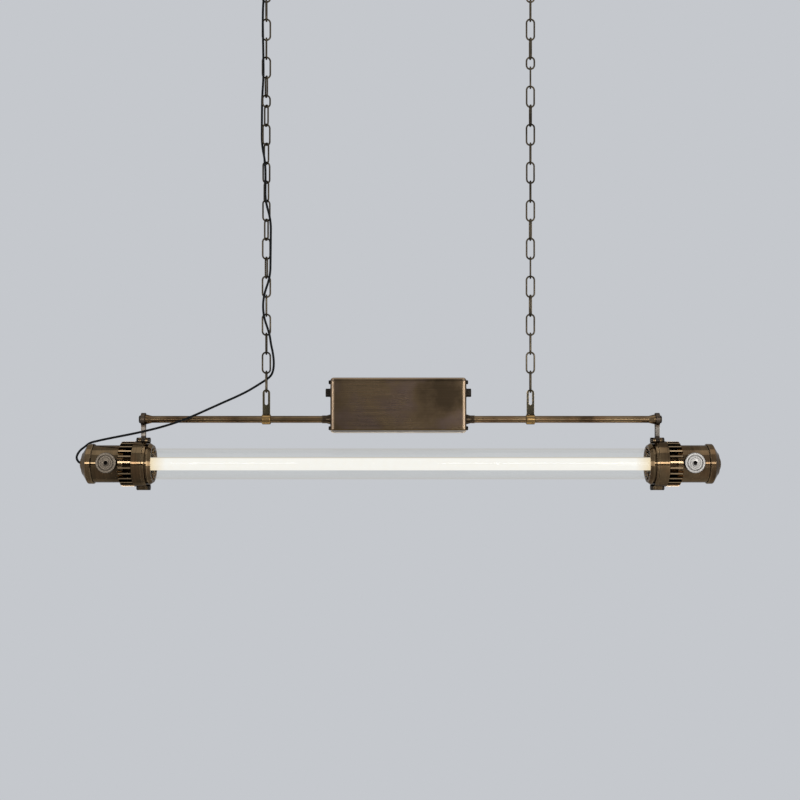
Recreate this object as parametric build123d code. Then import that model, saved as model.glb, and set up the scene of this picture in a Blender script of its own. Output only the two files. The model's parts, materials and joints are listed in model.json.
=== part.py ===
from build123d import *
import math
import os

# A linear pendant light: a lit tube inside a clear glass tube, held between two finned brass heads,
# hung by two links from a rod and gear box frame, which hangs on two chains from the ceiling.
# Millimetres, +X along the lamp, +Z up, the front towards -Y. Every piece is drawn about the glass
# tube's axis, the right side first, and the whole is lowered at the end so that z = 0 is the ceiling.

# Clearances
FIT = 0.1  # round pieces that sit inside each other
SEAM = 0.3  # faces of separate pieces that stop just short of each other
RUNNING_FIT = 0.06  # a bore that turns on its bolt
THREAD_FIT = 0.05  # a screw in its tapped hole
HOLE_FIT = 0.3  # a screw through a plain hole

# Lamp: a straight tube with two pins at each end
LAMP_LENGTH = 1198.0
LAMP_R = 13.0
LAMP_WALL = 0.8
LAMP_CAP_LENGTH = 16.0
LAMP_CAP_WALL = 0.6
PIN_R = 1.2
PIN_LENGTH = 7.0
PIN_SPACING = 12.7
BOARD_THICK = 1.2
BOARD_DROP = 5.0

# Glass tube
GLASS_R = 31.5
GLASS_WALL = 2.5
GLASS_IN_COLLAR = 18.0

# Clamp ring at the head's mouth
LAMP_IN_HEAD = 105.7
RING_LENGTH = 16.0
RING_LIP_R = 37.0
RING_NOSE_R = 41.5
RING_GROOVE_R = 39.6
RING_FLANGE_R = 45.0
RING_FLANGE_LENGTH = 4.3
RING_BORE_GAP = 1.0
GASKET_LENGTH = 8.0
GASKET_THICK = 4.4

# Head casting, from the collar outwards
COLLAR_LENGTH = 21.2
COLLAR_R = 45.5
COLLAR_EDGE = 1.2
NECK_LENGTH = 17.6
NECK_R = 33.5
THROAT_R = 27.5
BODY_LENGTH = 80.2
BODY_R = 37.3
BODY_EDGE = 0.8
CAVITY_R = 30.5
SPIGOT_LENGTH = 7.0
SPIGOT_WALL = 5.5
FIN_COUNT = 24
FIN_R = 44.7
FIN_THICK = 2.6
FIN_TIP_LENGTH = 25.0
FIN_LENGTH = 29.3
FIN_ROOT = 1.5

# Side plug on the head's front
PLUG_FROM_FIN = 48.6
PLUG_RISE = 4.2
PLUG_R = 20.2
PLUG_BOSS_RISE = 3.0
PLUG_BOSS_R = 17.0
PLUG_STEM_R = 14.0
PLUG_STEM_LENGTH = 8.0
PLUG_THICK = 4.2
PLUG_RIM = 4.6
PLUG_GROOVE = 2.0
PLUG_GROOVE_DEPTH = 1.6
PLUG_HOLE_R = 3.6
PLUG_HOLE_DEPTH = 7.0

# End cap
CAP_RIM_LENGTH = 11.8
CAP_R = 40.0
CAP_EDGE = 1.2
CAP_CONE_LENGTH = 9.0
CAP_CONE_R = 24.0
CAP_HUB_LENGTH = 2.0
CAP_NOSE_R = 11.0
CAP_NOSE_LENGTH = 4.8
CAP_WALL = 7.0
CAP_SEAL_THICK = 2.0

# Lampholder and its plate
PLATE_THICK = 2.0
PLATE_RIM = 2.0
PLATE_WIRE_HOLE_R = 4.0
HOLDER_R = 15.5
HOLDER_SCREW_R = 1.5
HOLDER_SCREW_OUT = 10.0
HOLDER_SCREW_LENGTH = 8.0
SCREW_HEAD_HIGH = 2.0

# Lugs and clamp bolts, top and bottom of each collar
LUG_BOLT_OUT = 46.8
LUG_R = 5.8
LUG_HALF_WIDTH = 8.0
LUG_ROOT = 37.0
COLLAR_LUG_THICK = 4.4
CLAMP_BOLT_R = 3.0
CLAMP_HEX = 5.0
CLAMP_HEX_HIGH = 5.0

# Hanger, and how far the lamp unit hangs to the right of the frame's middle
LAMP_OFF_CENTRE = 4.0
HANGER_THICK = 7.8
HANGER_TOP_R = 13.0
HANGER_FOOT_R = 6.5
HANGER_SHANK_TOP = 6.6
HANGER_SHANK_FOOT = 5.6

# Rods
ROD_RISE = 89.0
ROD_R = 7.0
ROD_BORE_R = 5.0
ROD_IN_BOX = 14.0
ROD_FLARE_R = 9.6
ROD_FLARE_LENGTH = 10.0
ROD_FACE_LENGTH = 3.0
ROD_PLUG_LENGTH = 24.0
PIVOT_BOLT_R = 4.0
PIVOT_BOLT_DEPTH = 18.0
PIVOT_WASHER_R = 9.2
PIVOT_WASHER_THICK = 1.4
PIVOT_HEX = 6.5
PIVOT_HEX_HIGH = 3.0

# Gear box
BOX_LENGTH = 269.0
BOX_HEIGHT = 109.6
BOX_DEPTH = 68.0
BOX_WALL = 1.6
BOX_EDGE_R = 8.0
BOX_BELOW_ROD = 26.5
COVER_LENGTH = 8.0
COVER_THICK = 3.0
COVER_EDGE_R = 6.5
COVER_TONGUE = 4.0
COVER_TONGUE_WALL = 2.0
CORNER_BLOCK = 14.0
CORNER_BLOCK_LENGTH = 14.0
COVER_SCREW_INSET = 9.3
COVER_SCREW_R = 2.0
COVER_SCREW_LENGTH = 20.0
COVER_SCREW_HEAD_R = 4.0
COVER_SCREW_HEAD_HIGH = 3.6
LOCKNUT_HEX = 9.6
LOCKNUT_HIGH = 5.0
SOCKET_R = 10.6
SOCKET_CONE_LENGTH = 9.0
SOCKET_RING_R = 7.9
SOCKET_RING_LENGTH = 9.0
BLANK_BELOW_TOP = 30.0
BLANK_STEM_R = 7.0
BLANK_STEM_LENGTH = 8.0
BLANK_FLANGE_R = 9.0
BLANK_FLANGE_HIGH = 2.2
BLANK_HEX = 7.2
BLANK_HEX_HIGH = 8.6

# Driver inside the gear box
TRAY_GAP = 2.2
TRAY_WIDTH = 50.0
TRAY_HEIGHT = 6.0
TRAY_THICK = 2.0
DRIVER_LENGTH = 130.0
DRIVER_WIDTH = 40.0
DRIVER_HEIGHT = 30.0
DRIVER_EAR_LENGTH = 12.0
DRIVER_EAR_THICK = 3.0
DRIVER_INSET = 1.0
DRIVER_SCREW_R = 2.0
DRIVER_SCREW_HEAD_R = 3.6
TERMINAL_LENGTH = 18.0
TERMINAL_WIDTH = 26.0
TERMINAL_HEIGHT = 14.0
TERMINAL_INSET = 6.0

# Chain brackets on the rods
CHAIN_SPACING = 528.0
BRACKET_WIDTH = 15.0
BRACKET_THICK = 4.0
BRACKET_TOP_WALL = 3.4
SLOT_WIDTH = 6.6
SLOT_LENGTH = 28.0
SLOT_TOP_ABOVE_ROD = 56.7
BAND_R = 10.2
BAND_WIDTH = 18.0
BAND_EDGE_R = 2.4
GRUB_R = 2.0

# Chains: alternate links stand across each other
LINKS = 23
LINK_LENGTH = 45.0
SHORT_LINK_LENGTH = 27.0
LEFT_SHORT_LINK = 16
RIGHT_SHORT_LINK = 18
LINK_WIDTH = 19.0
WIRE_R = 1.7
LINK_GAP = 0.2
BRACKET_GAP = 0.25
LEFT_TWIST = 40.0
RIGHT_TWIST = 14.0
RIGHT_TWIST_STEP = 1.7

# Ceiling fittings, one set over each chain
HOOK_GAP = 0.3
HOOK_WIRE_R = 2.5
HOOK_RING_R = 11.5
HOOK_ARC = 300.0
HOOK_NECK = 6.0
HOOK_SHANK_R = 4.0
HOOK_SHOULDER_R = 9.0
HOOK_SHOULDER_HIGH = 3.0
HOOK_END_BELOW_CEILING = 2.0
CANOPY_R = 55.0
CANOPY_DEPTH = 28.5
CANOPY_WALL = 1.5
CANOPY_EDGE_R = 16.0
STRAP_WIDTH = 24.0
STRAP_THICK = 3.0
STRAP_HOLE_SPACING = 70.0
STRAP_HOLE_R = 2.6
STRAP_FOOT = 10.0
STRAP_DROP = 12.0
STRAP_NUT_HEX = 6.5
STRAP_NUT_HIGH = 6.0
GRIP_X = 10.0
GRIP_Y = -24.0
GRIP_R = 6.0
GRIP_HEAD_R = 7.6
GRIP_LENGTH = 10.0
GRIP_IN_CANOPY = 6.0
SUPPLY_BLOCK_X = -26.0
SUPPLY_BLOCK_Y = 0.0

# Power cable, and the bush that it leaves the left end cap through
CABLE_R = 2.25
CABLE_FIT = 0.05
GLAND_R = 5.4
GLAND_FLANGE_R = 7.0
GLAND_FLANGE_HIGH = 1.0
GLAND_BELL_R = 4.6
GLAND_BELL_LENGTH = 5.3
HEAD_BLOCK_LENGTH = 9.0
HEAD_BLOCK_WIDTH = 18.0
HEAD_BLOCK_HEIGHT = 10.0
HEAD_BLOCK_RISE = 6.0
ARC_SHARE = 0.45  # how much of the shorter run each arc of the cable takes up

# Places along the tube, measured from the middle of the lamp
MOUTH_X = LAMP_LENGTH / 2 - LAMP_IN_HEAD
COLLAR_X = MOUTH_X + RING_LENGTH
GLASS_END_X = COLLAR_X + GLASS_IN_COLLAR
FIN_X = COLLAR_X + COLLAR_LENGTH
NECK_END_X = FIN_X + NECK_LENGTH
BODY_END_X = FIN_X + BODY_LENGTH
SPIGOT_END_X = BODY_END_X + SPIGOT_LENGTH
PLATE_X = SPIGOT_END_X - PLATE_THICK
CAP_START_X = BODY_END_X + SEAM
CAP_RIM_END_X = BODY_END_X + CAP_RIM_LENGTH
CAP_CONE_END_X = CAP_RIM_END_X + CAP_CONE_LENGTH
CAP_HUB_END_X = CAP_CONE_END_X + CAP_HUB_LENGTH
CAP_END_X = CAP_HUB_END_X + CAP_NOSE_LENGTH
CAP_SHOULDER_X = SPIGOT_END_X + CAP_SEAL_THICK + FIT
CAP_INSIDE_END_X = CAP_CONE_END_X - CAP_WALL / 2
PLUG_X = FIN_X + PLUG_FROM_FIN
LAMP_FACE_X = LAMP_LENGTH / 2
HOLDER_X = LAMP_FACE_X + SEAM
HANGER_X = COLLAR_X + SEAM
HANGER_END_X = HANGER_X + HANGER_THICK
COLLAR_LUG_X = HANGER_END_X + SEAM
COLLAR_LUG_END_X = COLLAR_LUG_X + COLLAR_LUG_THICK
RING_LUG_X = COLLAR_X - RING_FLANGE_LENGTH
RING_NOSE_END_X = RING_LUG_X - CLAMP_HEX_HIGH - FIT
ROD_END_X = HANGER_X - SEAM / 2
CHAIN_X = CHAIN_SPACING / 2
BOX_HALF = BOX_LENGTH / 2
SHELL_HALF = BOX_HALF - COVER_LENGTH
CORNER_BLOCK_END_X = SHELL_HALF - COVER_TONGUE - SEAM
TRAY_HALF = CORNER_BLOCK_END_X - CORNER_BLOCK_LENGTH - TRAY_GAP
DRIVER_X = DRIVER_INSET + DRIVER_EAR_LENGTH + DRIVER_LENGTH / 2 - TRAY_HALF
SPIGOT_R = CAVITY_R + SPIGOT_WALL
PLATE_R = CAVITY_R + PLATE_RIM
RING_BORE_R = GLASS_R + RING_BORE_GAP
GASKET_R = GLASS_R + GASKET_THICK
PLUG_BOSS_Y = -(BODY_R + PLUG_BOSS_RISE)
PLUG_FACE_Y = PLUG_BOSS_Y - PLUG_THICK

# Heights above the tube's axis
BOX_BOTTOM = ROD_RISE - BOX_BELOW_ROD
BOX_MIDDLE = BOX_BOTTOM + BOX_HEIGHT / 2
BLANK_Z = BOX_BOTTOM + BOX_HEIGHT - BLANK_BELOW_TOP
SLOT_TOP = ROD_RISE + SLOT_TOP_ABOVE_ROD
LINK_R = LINK_WIDTH / 2 - WIRE_R
LINK_INSIDE_R = LINK_R - WIRE_R
FIRST_ARC_Z = SLOT_TOP - BRACKET_GAP + math.sqrt(LINK_INSIDE_R**2 - (BRACKET_THICK / 2) ** 2)
FIRST_LINK_Z = FIRST_ARC_Z - LINK_R
LINK_SPAN = LINK_LENGTH - 2 * WIRE_R
SHORT_LINK_SPAN = SHORT_LINK_LENGTH - 2 * WIRE_R
LINK_OVERLAP = 2 * WIRE_R + LINK_GAP
CHAIN_TOP = (
    FIRST_LINK_Z + (LINKS - 1) * (LINK_SPAN - LINK_OVERLAP) + SHORT_LINK_SPAN
)
HOOK_Z = CHAIN_TOP - WIRE_R - HOOK_GAP - HOOK_WIRE_R
HOOK_RING_Z = HOOK_Z + HOOK_RING_R
CANOPY_BOTTOM = HOOK_RING_Z + HOOK_RING_R + HOOK_NECK
CEILING = CANOPY_BOTTOM + CANOPY_DEPTH

# The cable's route from the canopy to the left end cap: x from the left chain, y, height above the
# tube's axis. It runs down beside the links, crossing between them, goes through the lowest link and
# passes in front of the rod and the hanger, and over the cap's rim to its nose.
CABLE_DROP_ROUTE = [
    (10.0, -24.0, 1034.0),
    (10.0, -24.0, 1010.0),
    (8.2, -21.8, 985.5),
    (2.5, -17.0, 957.0),
    (-5.2, -9.6, 925.0),
    (-6.6, -6.8, 887.0),
    (-5.9, -7.2, 849.0),
    (-5.2, -7.8, 811.0),
    (-4.6, -8.6, 773.0),
    (-8.8, 3.6, 736.0),
    (-9.0, 2.4, 715.0),
    (-9.3, 1.8, 677.0),
    (-9.4, 1.0, 639.0),
    (-1.0, -9.4, 601.0),
    (-0.6, -9.3, 563.0),
    (-1.4, -9.4, 525.0),
    (9.3, -1.6, 487.0),
    (9.0, -2.6, 449.0),
    (8.7, -3.4, 411.0),
    (8.2, -4.6, 373.0),
    (-5.4, -7.8, 335.0),
    (-6.0, -7.3, 297.0),
    (7.0, -6.4, 260.0),
    (9.6, -5.6, 239.5),
    (13.4, -4.6, 222.5),
    (15.4, -4.0, 205.0),
    (14.6, -3.2, 188.0),
    (9.0, -2.0, 174.5),
]
CABLE_LEAD_ROUTE = [
    (-7.0, -0.4, 164.0),
    (-20.0, -2.2, 155.6),
    (-36.0, -4.6, 145.8),
    (-56.0, -7.4, 135.6),
    (-83.0, -10.4, 123.6),
    (-109.0, -12.8, 111.8),
    (-134.0, -14.4, 100.4),
    (-157.0, -15.0, 90.6),
    (-184.0, -15.2, 80.8),
    (-214.0, -15.2, 72.0),
    (-241.0, -14.6, 65.6),
    (-266.0, -12.6, 60.2),
    (-291.0, -9.0, 55.4),
    (-312.0, -4.6, 51.4),
    (-328.0, 1.0, 48.2),
    (-341.0, 8.4, 45.2),
    (-351.5, 17.0, 43.2),
    (-361.0, 22.4, 40.0),
    (-369.2, 22.0, 33.0),
    (-376.4, 18.4, 27.4),
    (-381.4, 12.4, 18.8),
    (-381.8, 6.2, 10.8),
    (-376.4, 1.6, 3.7),
    (-368.8, 0.0, 0.0),
    (-360.4, 0.0, 0.0),
]


def turned(profile):
    """A solid turned about the tube's axis from (distance along, radius) corners."""
    return revolve(make_face(Polyline(*profile, close=True)), axis=Axis.X)


def bar(radius, start, end, y=0.0, z=0.0):
    """A round bar along X between two distances."""
    solid = Cylinder(radius, end - start, align=(Align.CENTER, Align.CENTER, Align.MIN))
    return Pos(start, y, z) * Rot(0, 90, 0) * solid


def hexagon(apothem, start, end, y=0.0, z=0.0, turn=0.0):
    """A hexagonal bar along X between two distances."""
    outline = RegularPolygon(apothem, 6, major_radius=False, rotation=turn)
    return extrude(Plane.YZ.offset(start) * Pos(y, z) * outline, amount=end - start)


def across(radius, front, back, x, z=0.0):
    """A round bar along Y between two depths."""
    solid = Cylinder(radius, back - front, align=(Align.CENTER, Align.CENTER, Align.MIN))
    return Pos(x, front, z) * Rot(-90, 0, 0) * solid


def upright(radius, bottom, top, x, y=0.0):
    """A round bar along Z between two heights."""
    solid = Cylinder(radius, top - bottom, align=(Align.CENTER, Align.CENTER, Align.MIN))
    return Pos(x, y, bottom) * solid


def block(low, high):
    """A rectangular block between two corners."""
    size = [b - a for a, b in zip(low, high)]
    return Pos(*low) * Box(*size, align=(Align.MIN, Align.MIN, Align.MIN))


def mirrored(solid):
    """The same piece for the left side."""
    return mirror(solid, about=Plane.YZ)


def both(solid):
    """A right and a left copy of a piece, as one group."""
    return group([solid, mirrored(solid)])


def on_lamp(solid):
    """A piece of the lamp unit, moved to where the unit hangs under the frame."""
    return Pos(LAMP_OFF_CENTRE, 0, 0) * solid


def group(shapes):
    """Several separate solids as one piece of the list."""
    return Compound([solid for shape in shapes for solid in shape.solids()])


def glass_tube():
    """The clear tube, open at both ends."""
    return bar(GLASS_R, -GLASS_END_X, GLASS_END_X) - bar(
        GLASS_R - GLASS_WALL, -GLASS_END_X, GLASS_END_X
    )


def lamp_tube():
    """The frosted tube of the lamp, between its end caps' discs."""
    half = LAMP_FACE_X - 2 * LAMP_CAP_WALL
    return bar(LAMP_R, -half, half) - bar(LAMP_R - LAMP_WALL, -half, half)


def lamp_end_caps():
    """Metal cups over the two ends of the lamp, drilled for the pins."""
    start = LAMP_FACE_X - LAMP_CAP_LENGTH
    inside = LAMP_R + FIT / 2
    cup = bar(inside + LAMP_CAP_WALL, start, LAMP_FACE_X)
    cup -= bar(inside, start, LAMP_FACE_X - LAMP_CAP_WALL)
    for z in (-PIN_SPACING / 2, PIN_SPACING / 2):
        cup -= bar(PIN_R + THREAD_FIT, start, LAMP_FACE_X, z=z)
    return both(cup)


def lamp_pins():
    """Four contact pins through the lamp's end caps."""
    pins = [
        bar(PIN_R, LAMP_FACE_X - 4 * LAMP_CAP_WALL, LAMP_FACE_X + PIN_LENGTH, z=z)
        for z in (-PIN_SPACING / 2, PIN_SPACING / 2)
    ]
    return both(group(pins))


def led_board():
    """A strip that rests by its edges on the lamp tube's inside."""
    inside = LAMP_R - LAMP_WALL - FIT / 2
    half_width = math.sqrt(inside**2 - (BOARD_DROP + BOARD_THICK) ** 2)
    half = LAMP_FACE_X - LAMP_CAP_LENGTH
    return block(
        (-half, -half_width, -BOARD_DROP - BOARD_THICK),
        (half, half_width, -BOARD_DROP),
    )


def lug(start, end, side):
    """A tongue on a collar for a clamp bolt, on the top (1) or the bottom (-1)."""
    tongue = make_face(
        Polyline(
            (-LUG_HALF_WIDTH, LUG_ROOT),
            (LUG_HALF_WIDTH, LUG_ROOT),
            (LUG_R, LUG_BOLT_OUT),
            (-LUG_R, LUG_BOLT_OUT),
            close=True,
        )
    )
    outline = tongue + Pos(0, LUG_BOLT_OUT) * Circle(LUG_R)
    solid = extrude(Plane.YZ.offset(start) * outline, amount=end - start)
    return solid if side > 0 else Rot(180, 0, 0) * solid


def clamp_hole(start, end, side):
    """The plain hole for a clamp bolt through a lug."""
    return bar(CLAMP_BOLT_R + HOLE_FIT / 2, start, end, z=side * LUG_BOLT_OUT)


def clamp_ring():
    """The ring that clamps the gasket and the glass into the collar, with a groove for the nuts."""
    end = COLLAR_X - SEAM / 2
    groove = COLLAR_X - GASKET_LENGTH - SEAM
    ring = turned(
        [
            (MOUTH_X, RING_BORE_R),
            (MOUTH_X, RING_LIP_R),
            (RING_NOSE_END_X, RING_NOSE_R),
            (RING_NOSE_END_X, RING_GROOVE_R),
            (RING_LUG_X, RING_GROOVE_R),
            (RING_LUG_X, RING_FLANGE_R),
            (end, RING_FLANGE_R),
            (end, GASKET_R + FIT),
            (groove, GASKET_R + FIT),
            (groove, RING_BORE_R),
        ]
    )
    for side in (1, -1):
        ring += lug(RING_LUG_X, end, side)
    for side in (1, -1):
        ring -= clamp_hole(RING_LUG_X - 1, end + 1, side)
    return ring


def glass_gasket():
    """The rubber ring between the clamp ring, the collar and the glass."""
    return bar(GASKET_R, COLLAR_X - GASKET_LENGTH, COLLAR_X) - bar(
        GLASS_R + FIT / 2, COLLAR_X - GASKET_LENGTH, COLLAR_X
    )


def fin():
    """One cooling fin, at the top of the head, before it is turned to its place."""
    root = NECK_R - FIN_ROOT
    outline = make_face(
        Polyline(
            (FIN_X - FIN_ROOT, root),
            (FIN_X - FIN_ROOT, FIN_R),
            (FIN_X + FIN_TIP_LENGTH, FIN_R),
            (FIN_X + FIN_LENGTH, BODY_R - FIN_ROOT),
            (FIN_X + FIN_LENGTH, root),
            close=True,
        )
    )
    return extrude(Plane.XZ * outline, amount=FIN_THICK / 2, both=True)


def head_body():
    """The casting: collar with lugs, neck with fins, body with the plug's boss, and the cap's spigot."""
    start = COLLAR_X + SEAM / 2
    head = turned(
        [
            (start, 0),
            (start, COLLAR_R - COLLAR_EDGE),
            (start + COLLAR_EDGE, COLLAR_R),
            (FIN_X - COLLAR_EDGE, COLLAR_R),
            (FIN_X, COLLAR_R - COLLAR_EDGE),
            (FIN_X, NECK_R),
            (NECK_END_X, NECK_R),
            (NECK_END_X, BODY_R),
            (BODY_END_X - BODY_EDGE, BODY_R),
            (BODY_END_X, BODY_R - BODY_EDGE),
            (BODY_END_X, SPIGOT_R),
            (SPIGOT_END_X, SPIGOT_R),
            (SPIGOT_END_X, 0),
        ]
    )
    head += [Rot(360 * (i + 0.5) / FIN_COUNT, 0, 0) * fin() for i in range(FIN_COUNT)]
    head += across(PLUG_BOSS_R, PLUG_BOSS_Y, 0, PLUG_X, PLUG_RISE)
    head += lug(COLLAR_LUG_X, COLLAR_LUG_END_X, 1)
    head += lug(start, COLLAR_LUG_END_X, -1)
    glass_seat_r = GLASS_R + FIT
    cavity_x = NECK_END_X + SEAM * 10
    head -= turned(
        [
            (start - 1, 0),
            (start - 1, glass_seat_r),
            (GLASS_END_X + SEAM, glass_seat_r),
            (GLASS_END_X + SEAM, THROAT_R),
            (cavity_x, THROAT_R),
            (cavity_x, CAVITY_R),
            (PLATE_X, CAVITY_R),
            (PLATE_X, PLATE_R + FIT),
            (SPIGOT_END_X + 1, PLATE_R + FIT),
            (SPIGOT_END_X + 1, 0),
        ]
    )
    head -= across(PLUG_STEM_R + FIT, PLUG_BOSS_Y - 1, -THROAT_R / 2, PLUG_X, PLUG_RISE)
    # A flat pocket in the collar's top for the hanger's foot, and one each side for the bolt heads.
    foot = HANGER_FOOT_R + SEAM
    top = COLLAR_R + LUG_R
    head -= block((start - 1, -foot, LUG_BOLT_OUT - foot), (COLLAR_LUG_X, foot, top + foot))
    head_pocket = CLAMP_HEX + SEAM * 4
    for side in (1, -1):
        low, high = sorted((side * (LUG_BOLT_OUT - head_pocket), side * (top + foot)))
        head -= block(
            (COLLAR_LUG_END_X, -head_pocket, low),
            (COLLAR_LUG_END_X + CLAMP_HEX_HIGH + SEAM, head_pocket, high),
        )
        head -= clamp_hole(start - 1, COLLAR_LUG_END_X + 1, side)
    return head


def side_plug():
    """The turned plug on the head's front: a stem in the boss, and a face with rings and a hole."""
    stem_end = PLUG_BOSS_Y + PLUG_STEM_LENGTH
    groove_r = PLUG_R - PLUG_RIM
    disc_r = groove_r - PLUG_GROOVE
    groove_y = PLUG_FACE_Y + PLUG_GROOVE_DEPTH
    profile = [
        (0, stem_end),
        (PLUG_STEM_R, stem_end),
        (PLUG_STEM_R, PLUG_BOSS_Y),
        (PLUG_R, PLUG_BOSS_Y),
        (PLUG_R, PLUG_FACE_Y + PLUG_GROOVE_DEPTH / 2),
        (PLUG_R - PLUG_GROOVE_DEPTH / 2, PLUG_FACE_Y),
        (groove_r, PLUG_FACE_Y),
        (groove_r, groove_y),
        (disc_r, groove_y),
        (disc_r, PLUG_FACE_Y + PLUG_GROOVE_DEPTH / 4),
        (PLUG_HOLE_R, PLUG_FACE_Y),
        (PLUG_HOLE_R, PLUG_FACE_Y + PLUG_HOLE_DEPTH),
        (0, PLUG_FACE_Y + PLUG_HOLE_DEPTH),
    ]
    solid = revolve(make_face(Polyline(*profile, close=True)), axis=Axis.Y)
    return Pos(PLUG_X, 0, PLUG_RISE) * solid


def end_cap():
    """The screwed cap: a skirt over the spigot, a cone and a stepped nose, hollow inside."""
    inside_r = CAP_CONE_R - CAP_WALL
    return turned(
        [
            (CAP_START_X, SPIGOT_R + FIT),
            (CAP_START_X, CAP_R - CAP_EDGE),
            (CAP_START_X + CAP_EDGE, CAP_R),
            (CAP_RIM_END_X - CAP_EDGE, CAP_R),
            (CAP_RIM_END_X, CAP_R - CAP_EDGE / 2),
            (CAP_CONE_END_X, CAP_CONE_R + CAP_EDGE),
            (CAP_CONE_END_X, CAP_CONE_R),
            (CAP_HUB_END_X, CAP_CONE_R - CAP_EDGE),
            (CAP_END_X - CAP_EDGE, CAP_NOSE_R + CAP_EDGE),
            (CAP_END_X, CAP_NOSE_R),
            (CAP_END_X, 0),
            (CAP_INSIDE_END_X, 0),
            (CAP_INSIDE_END_X, inside_r),
            (CAP_SHOULDER_X, CAP_R - CAP_WALL - CAP_EDGE),
            (CAP_SHOULDER_X, SPIGOT_R + FIT),
        ]
    )


def cable_end_cap():
    """The left end cap, drilled through its nose for the cable's bush."""
    return mirrored(end_cap() - bar(GLAND_R + FIT, CAP_INSIDE_END_X - 1, CAP_END_X + 1))


def cable_gland():
    """The rubber bush in the left end cap's nose, with a bell mouth where the cable turns up."""
    bush = bar(GLAND_R, CAP_INSIDE_END_X, CAP_END_X)
    bush += bar(GLAND_FLANGE_R, CAP_END_X, CAP_END_X + GLAND_FLANGE_HIGH)
    mouth = CAP_END_X + GLAND_FLANGE_HIGH
    bore = CABLE_R + CABLE_FIT
    bush -= bar(bore, CAP_INSIDE_END_X - 1, mouth)
    bush -= turned(
        [
            (mouth - GLAND_BELL_LENGTH, 0),
            (mouth - GLAND_BELL_LENGTH, bore),
            (mouth, GLAND_BELL_R),
            (mouth, 0),
        ]
    )
    return mirrored(bush)


def end_cap_seal():
    """The flat ring that the cap presses on the spigot's end and the lampholder plate."""
    start, end = SPIGOT_END_X, SPIGOT_END_X + CAP_SEAL_THICK
    return bar(SPIGOT_R, start, end) - bar(CAVITY_R, start, end)


def lampholder_plate():
    """The round plate that carries the lampholder on a step inside the spigot."""
    plate = bar(PLATE_R, PLATE_X, SPIGOT_END_X)
    for side in (1, -1):
        plate -= bar(
            HOLDER_SCREW_R + HOLE_FIT / 2, PLATE_X - 1, SPIGOT_END_X + 1, y=side * HOLDER_SCREW_OUT
        )
        plate -= bar(
            PLATE_WIRE_HOLE_R, PLATE_X - 1, SPIGOT_END_X + 1, z=side * (HOLDER_R + PLATE_WIRE_HOLE_R)
        )
    return plate


def lampholder():
    """The socket for the lamp's pins."""
    holder = bar(HOLDER_R, HOLDER_X, PLATE_X)
    for side in (1, -1):
        holder -= bar(
            PIN_R + FIT, HOLDER_X - 1, HOLDER_X + PIN_LENGTH + SEAM, z=side * PIN_SPACING / 2
        )
        holder -= bar(
            HOLDER_SCREW_R + THREAD_FIT,
            PLATE_X - HOLDER_SCREW_LENGTH - SEAM,
            PLATE_X + 1,
            y=side * HOLDER_SCREW_OUT,
        )
    return holder


def lampholder_screws():
    """Two screws through each plate into its lampholder."""
    screws = []
    for side in (1, -1):
        y = side * HOLDER_SCREW_OUT
        shank = bar(HOLDER_SCREW_R, PLATE_X - HOLDER_SCREW_LENGTH, SPIGOT_END_X, y=y)
        head = bar(2 * HOLDER_SCREW_R, SPIGOT_END_X, SPIGOT_END_X + SCREW_HEAD_HIGH, y=y)
        screws.append(shank + head)
    return both(group(screws))


def head_terminal_block():
    """Where the power cable's cores are joined, on the back of the left lampholder plate."""
    half = HEAD_BLOCK_WIDTH / 2
    solid = block(
        (SPIGOT_END_X, -half, HEAD_BLOCK_RISE),
        (SPIGOT_END_X + HEAD_BLOCK_LENGTH, half, HEAD_BLOCK_RISE + HEAD_BLOCK_HEIGHT),
    )
    return mirrored(solid)


def hanger():
    """The flat link from a rod's end to the lug on top of a collar."""
    shank = make_face(
        Polyline(
            (-HANGER_SHANK_TOP, ROD_RISE),
            (HANGER_SHANK_TOP, ROD_RISE),
            (HANGER_SHANK_FOOT, LUG_BOLT_OUT),
            (-HANGER_SHANK_FOOT, LUG_BOLT_OUT),
            close=True,
        )
    )
    outline = shank + Pos(0, ROD_RISE) * Circle(HANGER_TOP_R)
    outline += Pos(0, LUG_BOLT_OUT) * Circle(HANGER_FOOT_R)
    outline -= Pos(0, ROD_RISE) * Circle(PIVOT_BOLT_R + RUNNING_FIT)
    outline -= Pos(0, LUG_BOLT_OUT) * Circle(CLAMP_BOLT_R + HOLE_FIT / 2)
    return extrude(Plane.YZ.offset(HANGER_X) * outline, amount=HANGER_THICK)


def clamp_bolts():
    """A bolt along X through the lugs at the top and the bottom of each head."""
    bolts = []
    for side in (1, -1):
        z = side * LUG_BOLT_OUT
        shank = bar(CLAMP_BOLT_R, RING_LUG_X - CLAMP_HEX_HIGH, COLLAR_LUG_END_X, z=z)
        head = hexagon(CLAMP_HEX, COLLAR_LUG_END_X, COLLAR_LUG_END_X + CLAMP_HEX_HIGH, z=z, turn=30)
        bolts.append(shank + head)
    return both(group(bolts))


def clamp_nuts():
    """The nuts of the clamp bolts, on the clamp rings' side."""
    nuts = []
    for side in (1, -1):
        z = side * LUG_BOLT_OUT
        nut = hexagon(CLAMP_HEX, RING_LUG_X - CLAMP_HEX_HIGH, RING_LUG_X, z=z, turn=30)
        nuts.append(nut - bar(CLAMP_BOLT_R + THREAD_FIT, MOUTH_X - 1, COLLAR_X, z=z))
    return both(group(nuts))


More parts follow.
